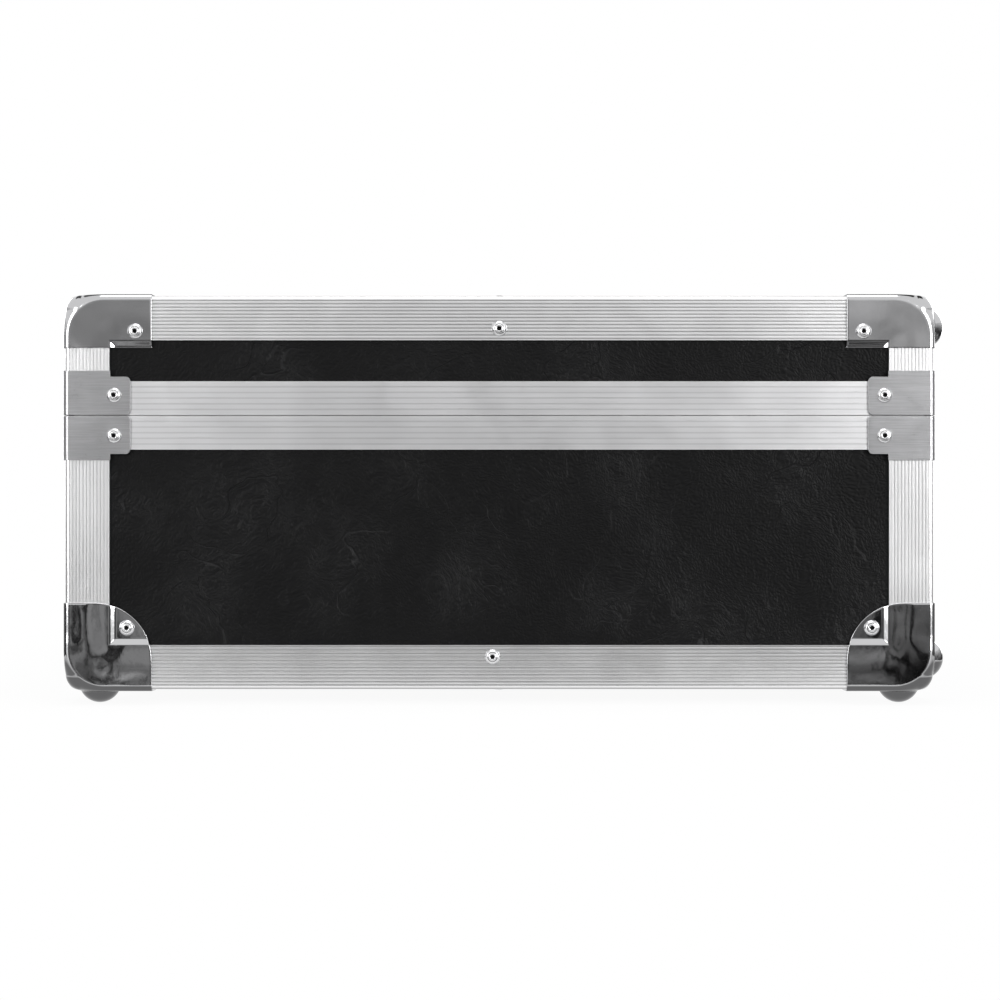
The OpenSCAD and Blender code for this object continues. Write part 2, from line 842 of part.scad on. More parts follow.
// Two forged arms and the core rod that carries the grip
module handle_bail() {
    color([0.7, 0.7, 0.7])
        at_handle() {
            for (s = [-1, 1])
                translate([s * handle_w / 2, 0, 0])
                    difference() {
                        side_view(arm_t) arm_view();
                        handle_bore(handle_pin_r + pin_room);
                    }
            translate([-handle_w / 2, -handle_drop, grip_d])
                rotate([0, 90, 0]) cylinder(r = core_r, h = handle_w);
        }
}

// Side view of an arm, from its eye down to the grip's middle
module arm_view() {
    lean = atan2(grip_d - handle_pivot_d, handle_drop);
    translate([handle_pivot_d, 0]) circle(arm_eye_r);
    translate([grip_d, -handle_drop]) circle(arm_low_r);
    translate([handle_pivot_d, 0])
        rotate([0, 0, lean])
            translate([-arm_w / 2, -handle_drop]) square([arm_w, handle_drop]);
}

module handle_grip() {
    long = handle_w - arm_t - 2 * latch_room;
    pitch = long / (grip_rings + 1);
    color([0.06, 0.06, 0.06])
        at_handle()
            translate([-long / 2, -handle_drop, grip_d])
                rotate([0, 90, 0])
                    rotate_extrude()
                        difference() {
                            translate([core_r, 0]) square([grip_r - core_r, long]);
                            for (i = [1 : grip_rings])
                                translate([grip_r - grip_ring_deep, i * pitch - grip_ring_w / 2])
                                    square([grip_ring_deep + over, grip_ring_w]);
                            for (y = [0, long])
                                translate([grip_r, y]) rotate(45)
                                    square(grip_end_r * sqrt(2), center = true);
                        }
}

// Twist latches

module at_latch(s) {
    on_face(2) translate([s * latch_x, z_split, 0]) children();
}

module at_rotor(s) {
    at_latch(s) translate([0, rotor_z, 0]) children();
}

// The hook is drawn shut and stands at rest tilted out, let go
module at_hook(s) {
    at_latch(s)
        translate([0, hook_pin_z, hook_pin_d])
            rotate([hook_tilt, 0, 0])
                translate([0, -hook_pin_z, -hook_pin_d])
                    children();
}

module latch_plate(s) {
    half = latch_w / 2;
    color([0.68, 0.68, 0.68])
        difference() {
            at_latch(s)
                difference() {
                    union() {
                        translate([-half, -latch_joggle, 0])
                            cube([latch_w, latch_joggle - latch_top, latch_plate_t]);
                        translate([-half, -latch_joggle, -leg_t])
                            cube([latch_w, latch_joggle - rim_h - split_gap, leg_t + latch_plate_t]);
                        translate([-half, -latch_low, -leg_t])
                            cube([latch_w, latch_low - latch_joggle, latch_plate_t]);
                        for (t = [-1, 1])
                            translate([t * (hook_ear_x + hook_ear_t / 2), hook_pin_z, 0])
                                side_view(hook_ear_t) hook_ear();
                    }
                    translate([0, rotor_z, -leg_t - over])
                        cylinder(r = rotor_stub_r + pin_room, h = leg_t + latch_plate_t + 2 * over);
                    hook_bore(hook_pin_r + rivet_clear);
                }
            holes(base_spots, [2]);
        }
}

module hook_ear() {
    translate([hook_pin_d, 0]) circle(hook_ear_r);
    translate([-leg_t, -hook_ear_r]) square([hook_pin_d + leg_t, 2 * hook_ear_r]);
}

module hook_bore(r) {
    translate([-latch_w / 2, hook_pin_z, hook_pin_d])
        rotate([0, 90, 0]) cylinder(r = r, h = latch_w);
}

module latch_hook_pins() {
    half = hook_ear_x + hook_ear_t;
    color([0.6, 0.6, 0.6])
        for (s = [-1, 1])
            at_latch(s)
                translate([-half, hook_pin_z, hook_pin_d])
                    rotate([0, 90, 0]) cylinder(r = hook_pin_r, h = 2 * half);
}

// Cranked hook plate with an eye at its foot and a claw at its top
module latch_hook(s) {
    claw_z = lip_z + lip_t + lip_room;
    color([0.7, 0.7, 0.7])
        at_hook(s)
            difference() {
                union() {
                    side_view(hook_claw_w)
                        polygon([[hook_in, hook_pin_z], [hook_in, hook_crank_z],
                            [hook_out, hook_crank_z + hook_crank_run], [hook_out, claw_z],
                            [claw_in, claw_z], [claw_in, claw_z + hook_t],
                            [hook_out + hook_t, claw_z + hook_t],
                            [hook_out + hook_t, hook_crank_z + hook_crank_run - hook_t / 2],
                            [hook_in + hook_t, hook_crank_z - hook_t / 2],
                            [hook_in + hook_t, hook_pin_z]]);
                    translate([-hook_w / 2, hook_pin_z, hook_in])
                        cube([hook_w, hook_crank_z - hook_t - hook_pin_z, hook_t]);
                    translate([-hook_w / 2, hook_pin_z, hook_pin_d])
                        rotate([0, 90, 0]) cylinder(r = hook_eye_r, h = hook_w);
                }
                hook_bore(hook_pin_r + pin_room);
                translate([0, rotor_z, 0])
                    cylinder(r = rotor_boss_r + hook_hole_room, h = rotor_head_d);
            }
}

// Rotor with its stub in the plate, its boss through the hook and two ears for the wing
module latch_rotor(s) {
    color([0.72, 0.72, 0.72])
        at_rotor(s)
            difference() {
                union() {
                    translate([0, 0, latch_room - leg_t])
                        cylinder(r = rotor_stub_r, h = leg_t + rotor_head_d);
                    translate([0, 0, latch_room]) cylinder(r = rotor_boss_r, h = rotor_head_d);
                    translate([0, 0, rotor_head_d]) cylinder(r = rotor_head_r, h = rotor_head_t);
                    for (t = [-1, 1])
                        translate([t * (rotor_ear_x + rotor_ear_t / 2), 0, 0])
                            side_view(rotor_ear_t)
                                union() {
                                    translate([wing_pin_d, 0]) circle(rotor_ear_w / 2);
                                    translate([rotor_head_d + rotor_head_t / 2, -rotor_ear_w / 2])
                                        square([wing_pin_d - rotor_head_d - rotor_head_t / 2,
                                            rotor_ear_w]);
                                }
                }
                wing_bore(wing_pin_r + rivet_clear);
            }
}

module wing_bore(r) {
    translate([-latch_w / 2, 0, wing_pin_d]) rotate([0, 90, 0]) cylinder(r = r, h = latch_w);
}

module latch_wing_pin(s) {
    half = rotor_ear_x + rotor_ear_t;
    color([0.6, 0.6, 0.6])
        at_rotor(s)
            translate([-half, 0, wing_pin_d])
                rotate([0, 90, 0]) cylinder(r = wing_pin_r, h = 2 * half);
}

// Two-lobed thumb plate that hangs flat from its pin
module latch_wing(s) {
    half = rotor_ear_x - latch_room;
    color([0.74, 0.74, 0.74])
        at_rotor(s)
            difference() {
                union() {
                    translate([-half, 0, wing_pin_d])
                        rotate([0, 90, 0]) cylinder(r = wing_knuckle_r, h = 2 * half);
                    translate([0, 0, wing_pin_d - wing_t / 2])
                        linear_extrude(wing_t)
                            difference() {
                                union() {
                                    for (t = [-1, 1])
                                        translate([t * wing_lobe_x, -wing_lobe_z])
                                            circle(wing_lobe_r);
                                    translate([-wing_lobe_x, -wing_lobe_z - wing_lobe_r / 2])
                                        square([2 * wing_lobe_x, wing_lobe_r]);
                                    translate([-half, -wing_lobe_z])
                                        square([2 * half, wing_lobe_z]);
                                }
                                for (t = [-1, 1])
                                    translate([t > 0 ? half : -half - wing_lobe_r * 2, -wing_neck])
                                        square([wing_lobe_r * 2, wing_neck + over]);
                            }
                }
                wing_bore(wing_pin_r + pin_room);
            }
}

// Strike plate on the lid with the lip that the claw pulls on
module latch_strike(s) {
    color([0.68, 0.68, 0.68])
        difference() {
            at_latch(s) {
                translate([-latch_w / 2, latch_top, 0])
                    cube([latch_w, strike_top - latch_top, latch_plate_t]);
                translate([-lip_w / 2, lip_z, latch_plate_t / 2])
                    cube([lip_w, lip_t, lip_d - latch_plate_t / 2]);
            }
            holes(lid_spots, [2]);
        }
}

// Hinges

module at_hinge(s) {
    on_face(3) translate([s * hinge_x, z_split, 0]) children();
}

// Middle third belongs to the lid's leaf and the outer thirds to the base's leaf
knuckle_l = hinge_l / 3;

module leaf(up) {
    z0 = up ? knuckle_r + knuckle_keep : -leaf_h;
    translate([-hinge_l / 2, z0, 0]) cube([hinge_l, leaf_h - knuckle_r - knuckle_keep, leaf_t]);
}

module leaf_bore() {
    translate([-hinge_l, 0, hinge_off]) rotate([0, 90, 0])
        cylinder(r = hinge_pin_r + pin_room, h = 2 * hinge_l);
}

module knuckle(x, wide, up) {
    translate([x, 0, hinge_off]) rotate([0, 90, 0]) cylinder(r = knuckle_r, h = wide);
    translate([x, up ? 0 : -leaf_h / 2, 0]) cube([wide, leaf_h / 2, leaf_t]);
}

module hinge_base_leaves() {
    wide = knuckle_l - hinge_clear / 2;
    color([0.66, 0.66, 0.66])
        difference() {
            for (s = [-1, 0, 1])
                at_hinge(s)
                    difference() {
                        union() {
                            leaf(false);
                            knuckle(-hinge_l / 2, wide, false);
                            knuckle(hinge_l / 2 - wide, wide, false);
                        }
                        leaf_bore();
                    }
            holes(base_spots, [3]);
        }
}

// The nose on the middle knuckle meets the base's leaf when the lid is fully open
module stop_nose(wide) {
    seat = hinge_off - leaf_t;
    lean = asin(nose_t / 2 / nose_r);
    back = 180 + asin(seat / nose_r) - lid_open - nose_spare - lean;
    translate([-wide / 2, 0, hinge_off])
        rotate([back, 0, 0])
            translate([0, 0, -nose_t / 2])
                cube([wide, nose_r * cos(lean), nose_t]);
}

module hinge_lid_leaves() {
    wide = knuckle_l - hinge_clear;
    color([0.66, 0.66, 0.66])
        difference() {
            for (s = [-1, 0, 1])
                at_hinge(s)
                    difference() {
                        union() {
                            leaf(true);
                            knuckle(-wide / 2, wide, true);
                            stop_nose(wide);
                        }
                        leaf_bore();
                    }
            holes(lid_spots, [3]);
        }
}

module hinge_pins() {
    color([0.6, 0.6, 0.6])
        for (s = [-1, 0, 1])
            at_hinge(s)
                translate([-hinge_l / 2, 0, hinge_off])
                    rotate([0, 90, 0]) cylinder(r = hinge_pin_r, h = hinge_l);
}

// Pieces of the base

module base_bottom_panel() base_panel([4]) flat_panel(z_bot + leg_t);
module base_front_panel() base_panel([2]) long_panel(-1, base_wall_z0, base_wall_z1);
module base_rear_panel() base_panel([3]) long_panel(1, base_wall_z0, base_wall_z1);
module base_left_panel() base_panel([0]) end_panel(-1, base_wall_z0, base_wall_z1);
module base_right_panel() base_panel([1]) end_panel(1, base_wall_z0, base_wall_z1);
module base_edge_front() base_edge([2, 4]) long_edge(-1, z_bot, true);
module base_edge_rear() base_edge([3, 4]) long_edge(1, z_bot, true);
module base_edge_left() base_edge([0, 4]) end_edge(-1, z_bot, true);
module base_edge_right() base_edge([1, 4]) end_edge(1, z_bot, true);
module base_rim_front() base_rim(true, -1, [2]);
module base_rim_rear() base_rim(true, 1, [3]);
module base_rim_left() base_rim(false, -1, [0]);
module base_rim_right() base_rim(false, 1, [1]);
module base_braces() braces(false, base_spots);
module base_rivets() color([0.8, 0.8, 0.8]) rivets(base_spots);
module base_floor_foam() color([0.18, 0.18, 0.19]) floor_pad(base_wall_z0);
module base_wall_foam() color([0.18, 0.18, 0.19]) wall_pads(base_wall_z0 + foam_t, base_pad_z1);

// Pieces of the lid

module lid_top_panel() lid_panel([5]) flat_panel(lid_wall_z1);
module lid_front_panel() lid_panel([2]) long_panel(-1, lid_wall_z0, lid_wall_z1);
module lid_rear_panel() lid_panel([3]) long_panel(1, lid_wall_z0, lid_wall_z1);
module lid_left_panel() lid_panel([0]) end_panel(-1, lid_wall_z0, lid_wall_z1);
module lid_right_panel() lid_panel([1]) end_panel(1, lid_wall_z0, lid_wall_z1);
module lid_edge_front() lid_edge([2, 5]) long_edge(-1, z_top, false);
module lid_edge_rear() lid_edge([3, 5]) long_edge(1, z_top, false);
module lid_edge_left() lid_edge([0, 5]) end_edge(-1, z_top, false);
module lid_edge_right() lid_edge([1, 5]) end_edge(1, z_top, false);
module lid_rim_front() lid_rim(true, -1, [2]);
module lid_rim_rear() lid_rim(true, 1, [3]);
module lid_rim_left() lid_rim(false, -1, [0]);
module lid_rim_right() lid_rim(false, 1, [1]);
module lid_braces() braces(true, lid_spots);
module lid_rivets() color([0.8, 0.8, 0.8]) rivets(lid_spots);
module lid_top_foam() color([0.18, 0.18, 0.19]) floor_pad(lid_wall_z1 - foam_t);
module lid_wall_foam() color([0.18, 0.18, 0.19]) wall_pads(lid_pad_z0, lid_wall_z1 - foam_t);

// Drawing
base_bottom_panel();
base_front_panel();
base_rear_panel();
base_left_panel();
base_right_panel();
base_edge_front();
base_edge_rear();
base_edge_left();
base_edge_right();
base_uprights();
base_rim_front();
base_rim_rear();
base_rim_left();
base_rim_right();
base_corners_front();
base_corners_rear();
base_braces();
base_rivets();
base_floor_foam();
base_wall_foam();
handle_brackets();
handle_pins();
handle_bail();
handle_grip();
latch_plate(-1);  // latch_plate_left
latch_plate(1);  // latch_plate_right
latch_rotor(-1);  // latch_rotor_left
latch_rotor(1);  // latch_rotor_right
latch_wing(-1);  // latch_wing_left
latch_wing(1);  // latch_wing_right
latch_wing_pin(-1);  // latch_wing_pin_left
latch_wing_pin(1);  // latch_wing_pin_right
latch_hook(-1);  // latch_hook_left
latch_hook(1);  // latch_hook_right
latch_hook_pins();
hinge_base_leaves();
hinge_pins();
lid_top_panel();
lid_front_panel();
lid_rear_panel();
lid_left_panel();
lid_right_panel();
lid_edge_front();
lid_edge_rear();
lid_edge_left();
lid_edge_right();
lid_uprights();
lid_rim_front();
lid_rim_rear();
lid_rim_left();
lid_rim_right();
lid_corners_front();
lid_corners_rear();
lid_braces();
lid_rivets();
lid_top_foam();
lid_wall_foam();
latch_strike(-1);  // latch_strike_left
latch_strike(1);  // latch_strike_right
hinge_lid_leaves();
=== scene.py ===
import bpy, bmesh, math
import numpy as np
from mathutils import Matrix, Vector


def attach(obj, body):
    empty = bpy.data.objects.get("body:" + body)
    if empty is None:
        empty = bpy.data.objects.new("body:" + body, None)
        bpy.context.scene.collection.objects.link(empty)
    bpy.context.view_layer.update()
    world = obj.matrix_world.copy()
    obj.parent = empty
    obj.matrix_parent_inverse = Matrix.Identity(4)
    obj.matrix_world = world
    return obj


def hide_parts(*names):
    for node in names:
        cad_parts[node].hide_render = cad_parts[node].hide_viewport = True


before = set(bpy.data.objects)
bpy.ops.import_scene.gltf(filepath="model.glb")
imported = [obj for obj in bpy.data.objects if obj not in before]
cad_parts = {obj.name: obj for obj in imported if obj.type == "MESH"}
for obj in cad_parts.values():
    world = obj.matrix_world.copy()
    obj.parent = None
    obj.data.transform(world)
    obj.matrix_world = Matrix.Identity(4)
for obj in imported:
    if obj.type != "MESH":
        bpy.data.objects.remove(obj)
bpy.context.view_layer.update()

# The case's planes in metres, as the frame has them
caseSize = {
    "halfLength": 0.390,
    "halfDepth": 0.225,
    "middleY": 0.00525,
    "bottom": 0.008,
    "top": 0.212,
}

# A millimetre in metres, and how near two points have to be to count as one
milli = 0.001
sameSpot = 1e-6


# Shader helpers

def addNode(tree, kind, **settings):
    node = tree.nodes.new(kind)
    for name, value in settings.items():
        if name in node.inputs:
            node.inputs[name].default_value = value
        else:
            setattr(node, name, value)
    return node


def newGroup(name, inputs, outputs):
    tree = bpy.data.node_groups.new(name, "ShaderNodeTree")
    for label, kind, value in inputs:
        socket = tree.interface.new_socket(name=label, in_out="INPUT", socket_type=kind)
        if value is not None:
            socket.default_value = value
    for label, kind in outputs:
        tree.interface.new_socket(name=label, in_out="OUTPUT", socket_type=kind)
    return tree, tree.nodes.new("NodeGroupInput"), tree.nodes.new("NodeGroupOutput")


def placeGroup(tree, group, **values):
    node = tree.nodes.new("ShaderNodeGroup")
    node.node_tree = group
    for label, value in values.items():
        node.inputs[label].default_value = value
    return node


def mapRange(tree, source, fromLow, fromHigh, toLow, toHigh):
    node = addNode(tree, "ShaderNodeMapRange")
    for socket, value in zip((1, 2, 3, 4), (fromLow, fromHigh, toLow, toHigh)):
        node.inputs[socket].default_value = value
    tree.links.new(source, node.inputs[0])
    return node.outputs[0]


def mathNode(tree, operation, first, second):
    node = addNode(tree, "ShaderNodeMath", operation=operation)
    for socket, value in enumerate((first, second)):
        if isinstance(value, (int, float)):
            node.inputs[socket].default_value = value
        else:
            tree.links.new(value, node.inputs[socket])
    return node.outputs[0]


def fromMiddle(tree, source):
    # how far a value is from 0.5
    return mathNode(tree, "ABSOLUTE", mathNode(tree, "SUBTRACT", source, 0.5), 0)


def newMaterial(name, color, **settings):
    material = bpy.data.materials.new(name)
    material.use_nodes = True
    tree = material.node_tree
    shader = tree.nodes["Principled BSDF"]
    shader.inputs["Base Color"].default_value = (*color, 1)
    for label, value in settings.items():
        shader.inputs[label].default_value = value
    return material, tree, shader


def addBump(tree, shader, height, strength, distance):
    bump = addNode(tree, "ShaderNodeBump", Strength=strength, Distance=distance)
    tree.links.new(height, bump.inputs["Height"])
    tree.links.new(bump.outputs[0], shader.inputs["Normal"])


def tintBetween(tree, factor, dark, light, shader):
    ramp = addNode(tree, "ShaderNodeValToRGB")
    ramp.color_ramp.elements[0].color = (*dark, 1)
    ramp.color_ramp.elements[1].color = (*light, 1)
    tree.links.new(factor, ramp.inputs[0])
    tree.links.new(ramp.outputs[0], shader.inputs["Base Color"])


# Shared effects

def makeDrawnGrain():
    # streaks of a drawn profile or a brushed sheet; Stretch is the number of streaks a metre each way
    tree, source, sink = newGroup("drawnGrain",
        [("Stretch", "NodeSocketVector", (900, 900, 900)), ("Spread", "NodeSocketFloat", 1)],
        [("Streak", "NodeSocketFloat"), ("Fine", "NodeSocketFloat")])
    place = addNode(tree, "ShaderNodeTexCoord")
    scaled = addNode(tree, "ShaderNodeVectorMath", operation="MULTIPLY")
    tree.links.new(place.outputs["Object"], scaled.inputs[0])
    tree.links.new(source.outputs["Stretch"], scaled.inputs[1])
    wide = addNode(tree, "ShaderNodeTexNoise", Scale=1, Detail=5, Roughness=0.6)
    fine = addNode(tree, "ShaderNodeTexNoise", Scale=3.1, Detail=3, Roughness=0.7)
    for noise in (wide, fine):
        tree.links.new(scaled.outputs[0], noise.inputs["Vector"])
    centred = mathNode(tree, "SUBTRACT", wide.outputs[0], 0.5)
    spread = mathNode(tree, "MULTIPLY", centred, source.outputs["Spread"])
    tree.links.new(mathNode(tree, "ADD", spread, 0.5), sink.inputs["Streak"])
    tree.links.new(fine.outputs[0], sink.inputs["Fine"])
    return tree


def makeHandling():
    # faint smudges and small scratches, both from 0 to 1
    look = {"smudge": (0.35, 0.7), "scratches": 260, "scratchWidth": 0.006}
    tree, source, sink = newGroup("handling",
        [("Scale", "NodeSocketFloat", 40)],
        [("Smudge", "NodeSocketFloat"), ("Scratch", "NodeSocketFloat")])
    place = addNode(tree, "ShaderNodeTexCoord")
    smudge = addNode(tree, "ShaderNodeTexNoise", Detail=4, Roughness=0.55, Distortion=0.6)
    tree.links.new(place.outputs["Object"], smudge.inputs["Vector"])
    tree.links.new(source.outputs["Scale"], smudge.inputs["Scale"])
    tree.links.new(mapRange(tree, smudge.outputs[0], *look["smudge"], 0, 1), sink.inputs["Smudge"])
    lines = addNode(tree, "ShaderNodeTexNoise", Scale=look["scratches"], Detail=1, Distortion=2.5)
    tree.links.new(place.outputs["Object"], lines.inputs["Vector"])
    ridge = fromMiddle(tree, lines.outputs[0])
    tree.links.new(mapRange(tree, ridge, 0, look["scratchWidth"], 1, 0), sink.inputs["Scratch"])
    return tree


def makeLeatherFolds():
    # pebble grain with a few thin creases and patches of fine wrinkles
    look = {
        "warpScale": 22,
        "warp": 0.03,
        "creaseWidth": 0.007,
        "wrinkleScale": 55,
        "wrinkle": 3.6,
        "patchScale": 16,
        "patch": (0.45, 0.68),
        "grain": 0.35,
    }
    tree, source, sink = newGroup("leatherFolds",
        [("Grain", "NodeSocketFloat", 900), ("Crease", "NodeSocketFloat", 9)],
        [("Height", "NodeSocketFloat"), ("Patch", "NodeSocketFloat"), ("Pores", "NodeSocketFloat"),
            ("Line", "NodeSocketFloat")])
    place = addNode(tree, "ShaderNodeTexCoord")
    warp = addNode(tree, "ShaderNodeTexNoise", Scale=look["warpScale"], Detail=3)
    tree.links.new(place.outputs["Object"], warp.inputs["Vector"])
    offset = addNode(tree, "ShaderNodeVectorMath", operation="SCALE", Scale=look["warp"])
    tree.links.new(warp.outputs["Color"], offset.inputs[0])
    bent = addNode(tree, "ShaderNodeVectorMath", operation="ADD")
    tree.links.new(place.outputs["Object"], bent.inputs[0])
    tree.links.new(offset.outputs[0], bent.inputs[1])
    pebbles = addNode(tree, "ShaderNodeTexVoronoi", feature="SMOOTH_F1")
    tree.links.new(bent.outputs[0], pebbles.inputs["Vector"])
    tree.links.new(source.outputs["Grain"], pebbles.inputs["Scale"])
    long = addNode(tree, "ShaderNodeTexNoise", Detail=2, Roughness=0.45, Distortion=0.8)
    tree.links.new(bent.outputs[0], long.inputs["Vector"])
    tree.links.new(source.outputs["Crease"], long.inputs["Scale"])
    crease = mapRange(tree, fromMiddle(tree, long.outputs[0]), 0, look["creaseWidth"], 1, 0)
    short = addNode(tree, "ShaderNodeTexNoise", Scale=look["wrinkleScale"], Detail=4, Roughness=0.6,
        Distortion=1.4)
    tree.links.new(bent.outputs[0], short.inputs["Vector"])
    patchNoise = addNode(tree, "ShaderNodeTexNoise", Scale=look["patchScale"], Detail=2)
    tree.links.new(place.outputs["Object"], patchNoise.inputs["Vector"])
    patch = mapRange(tree, patchNoise.outputs[0], *look["patch"], 0, 1)
    wrinkle = mathNode(tree, "MULTIPLY", fromMiddle(tree, short.outputs[0]), patch)
    grain = mathNode(tree, "MULTIPLY", pebbles.outputs["Distance"], look["grain"])
    line = mathNode(tree, "MULTIPLY", crease, patch)
    folds = mathNode(tree, "SUBTRACT", mathNode(tree, "MULTIPLY", wrinkle, look["wrinkle"]), line)
    tree.links.new(line, sink.inputs["Line"])
    tree.links.new(mathNode(tree, "ADD", folds, grain), sink.inputs["Height"])
    tree.links.new(patch, sink.inputs["Patch"])
    tree.links.new(pebbles.outputs["Distance"], sink.inputs["Pores"])
    return tree


def makeProfileRelief():
    # grooves of the edge profiles and the round crowns between them, by the distance to the case's planes;
    # the middle one of a point's three distances runs across its profile
    look = {"groove": (0.56, 0.72), "sunk": (0.00008, 0.0002)}
    tree, source, sink = newGroup("profileRelief",
        [("First", "NodeSocketFloat", 0.0025), ("Pitch", "NodeSocketFloat", 0.0018)],
        [("Groove", "NodeSocketFloat"), ("Crown", "NodeSocketFloat"), ("Sunk", "NodeSocketFloat")])
    place = addNode(tree, "ShaderNodeTexCoord")
    axes = addNode(tree, "ShaderNodeSeparateXYZ")
    tree.links.new(place.outputs["Object"], axes.inputs[0])
    x, y, z = axes.outputs
    fromEnd = mathNode(tree, "SUBTRACT", caseSize["halfLength"], mathNode(tree, "ABSOLUTE", x, 0))
    fromLong = mathNode(tree, "SUBTRACT", caseSize["halfDepth"],
        mathNode(tree, "ABSOLUTE", mathNode(tree, "SUBTRACT", y, caseSize["middleY"]), 0))
    fromFlat = mathNode(tree, "MINIMUM", mathNode(tree, "SUBTRACT", z, caseSize["bottom"]),
        mathNode(tree, "SUBTRACT", caseSize["top"], z))
    least = mathNode(tree, "MINIMUM", mathNode(tree, "MINIMUM", fromEnd, fromLong), fromFlat)
    most = mathNode(tree, "MAXIMUM", mathNode(tree, "MAXIMUM", fromEnd, fromLong), fromFlat)
    total = mathNode(tree, "ADD", mathNode(tree, "ADD", fromEnd, fromLong), fromFlat)
    across = mathNode(tree, "SUBTRACT", mathNode(tree, "SUBTRACT", total, least), most)
    run = mathNode(tree, "SUBTRACT", across, source.outputs["First"])
    phase = mathNode(tree, "DIVIDE", run, source.outputs["Pitch"])
    offset = mathNode(tree, "MULTIPLY", fromMiddle(tree, mathNode(tree, "FRACT", phase, 0)), 2)
    depth = mathNode(tree, "MINIMUM", fromEnd, fromLong)
    tree.links.new(mathNode(tree, "SUBTRACT", 1, mathNode(tree, "POWER", offset, 2)), sink.inputs["Crown"])
    # the groove and sunk masks carry painted shade into the metal's colour; the crown is only a bump
    tree.links.new(mapRange(tree, offset, *look["groove"], 0, 1), sink.inputs["Groove"])
    tree.links.new(mapRange(tree, depth, *look["sunk"], 0, 1), sink.inputs["Sunk"])
    return tree


drawnGrain = makeDrawnGrain()
profileRelief = makeProfileRelief()
handling = makeHandling()
leatherFolds = makeLeatherFolds()


# Materials

# What the two noises of the grain really reach
streakSpan = (0.3, 0.7)
fineSpan = (0.2, 0.8)


def makeLeatherette():
    look = {
        "dark": (0.002, 0.002, 0.0022),
        "light": (0.022, 0.022, 0.023),
        "grain": 850.0,
        "crease": 21.0,
        "palePatch": 0.16,
        "paleLine": 0.55,
        "gloss": 0.14,
        "poreRough": (0, 0.8, 0.4, 0.55),  # a pore's depth to its roughness
        "patchRough": 0.04,
        "bump": 1.0,
        "depth": 0.001,
    }
    material, tree, shader = newMaterial("leatherette", look["dark"], **{"Specular IOR Level": look["gloss"]})
    folds = placeGroup(tree, leatherFolds, Grain=look["grain"], Crease=look["crease"])
    pale = mathNode(tree, "ADD", mathNode(tree, "MULTIPLY", folds.outputs["Patch"], look["palePatch"]),
        mathNode(tree, "MULTIPLY", folds.outputs["Line"], look["paleLine"]))
    tintBetween(tree, pale, look["dark"], look["light"], shader)
    rough = mathNode(tree, "ADD", mapRange(tree, folds.outputs["Pores"], *look["poreRough"]),
        mapRange(tree, folds.outputs["Patch"], 0, 1, look["patchRough"], -look["patchRough"]))
    tree.links.new(rough, shader.inputs["Roughness"])
    addBump(tree, shader, folds.outputs["Height"], look["bump"], look["depth"])
    return material


def roughen(tree, shader, source, span, marks, smudge):
    # roughness over a span from a fine pattern, and a little more where hands have been
    rough = mathNode(tree, "ADD", mapRange(tree, source, *fineSpan, *span),
        mapRange(tree, marks.outputs["Smudge"], 0, 1, 0, smudge))
    tree.links.new(rough, shader.inputs["Roughness"])


def makeProfileMetal(name, along, color, roughness, crown, grooveShade):
    # along is the profile's own direction, in which the streaks run; a rim has no crowns between its flutes
    look = {"streaks": 5000, "run": 8, "grain": 0.02, "shade": 0.93, "rough": 0.05, "depth": 0.001}
    ribbed = crown > 0
    stretch = tuple(look["run"] if axis == along else look["streaks"] for axis in "xyz")
    material, tree, shader = newMaterial(name, color, Metallic=1.0)
    grain = placeGroup(tree, drawnGrain, Stretch=stretch, Spread=1.0)
    marks = placeGroup(tree, handling, Scale=35.0)
    relief = placeGroup(tree, profileRelief)
    # painted shade: the grooves between the crowns, and on a rim the faces sunk in from the case's planes,
    # are coloured darker by the groove shade factor; the streaks are the grain's own tone
    low = relief.outputs["Groove" if ribbed else "Sunk"]
    shade = mathNode(tree, "MULTIPLY", mapRange(tree, low, 0, 1, 1, grooveShade),
        mapRange(tree, grain.outputs["Streak"], *streakSpan, look["shade"], 1))
    tintBetween(tree, shade, (0, 0, 0), color, shader)
    span = (roughness - look["rough"], roughness + look["rough"])
    roughen(tree, shader, grain.outputs["Fine"], span, marks, look["rough"])
    height = mathNode(tree, "MULTIPLY", grain.outputs["Streak"], look["grain"])
    if ribbed:
        height = mathNode(tree, "ADD", height, mathNode(tree, "MULTIPLY", relief.outputs["Crown"], crown))
    addBump(tree, shader, height, 1.0, look["depth"])
    return material


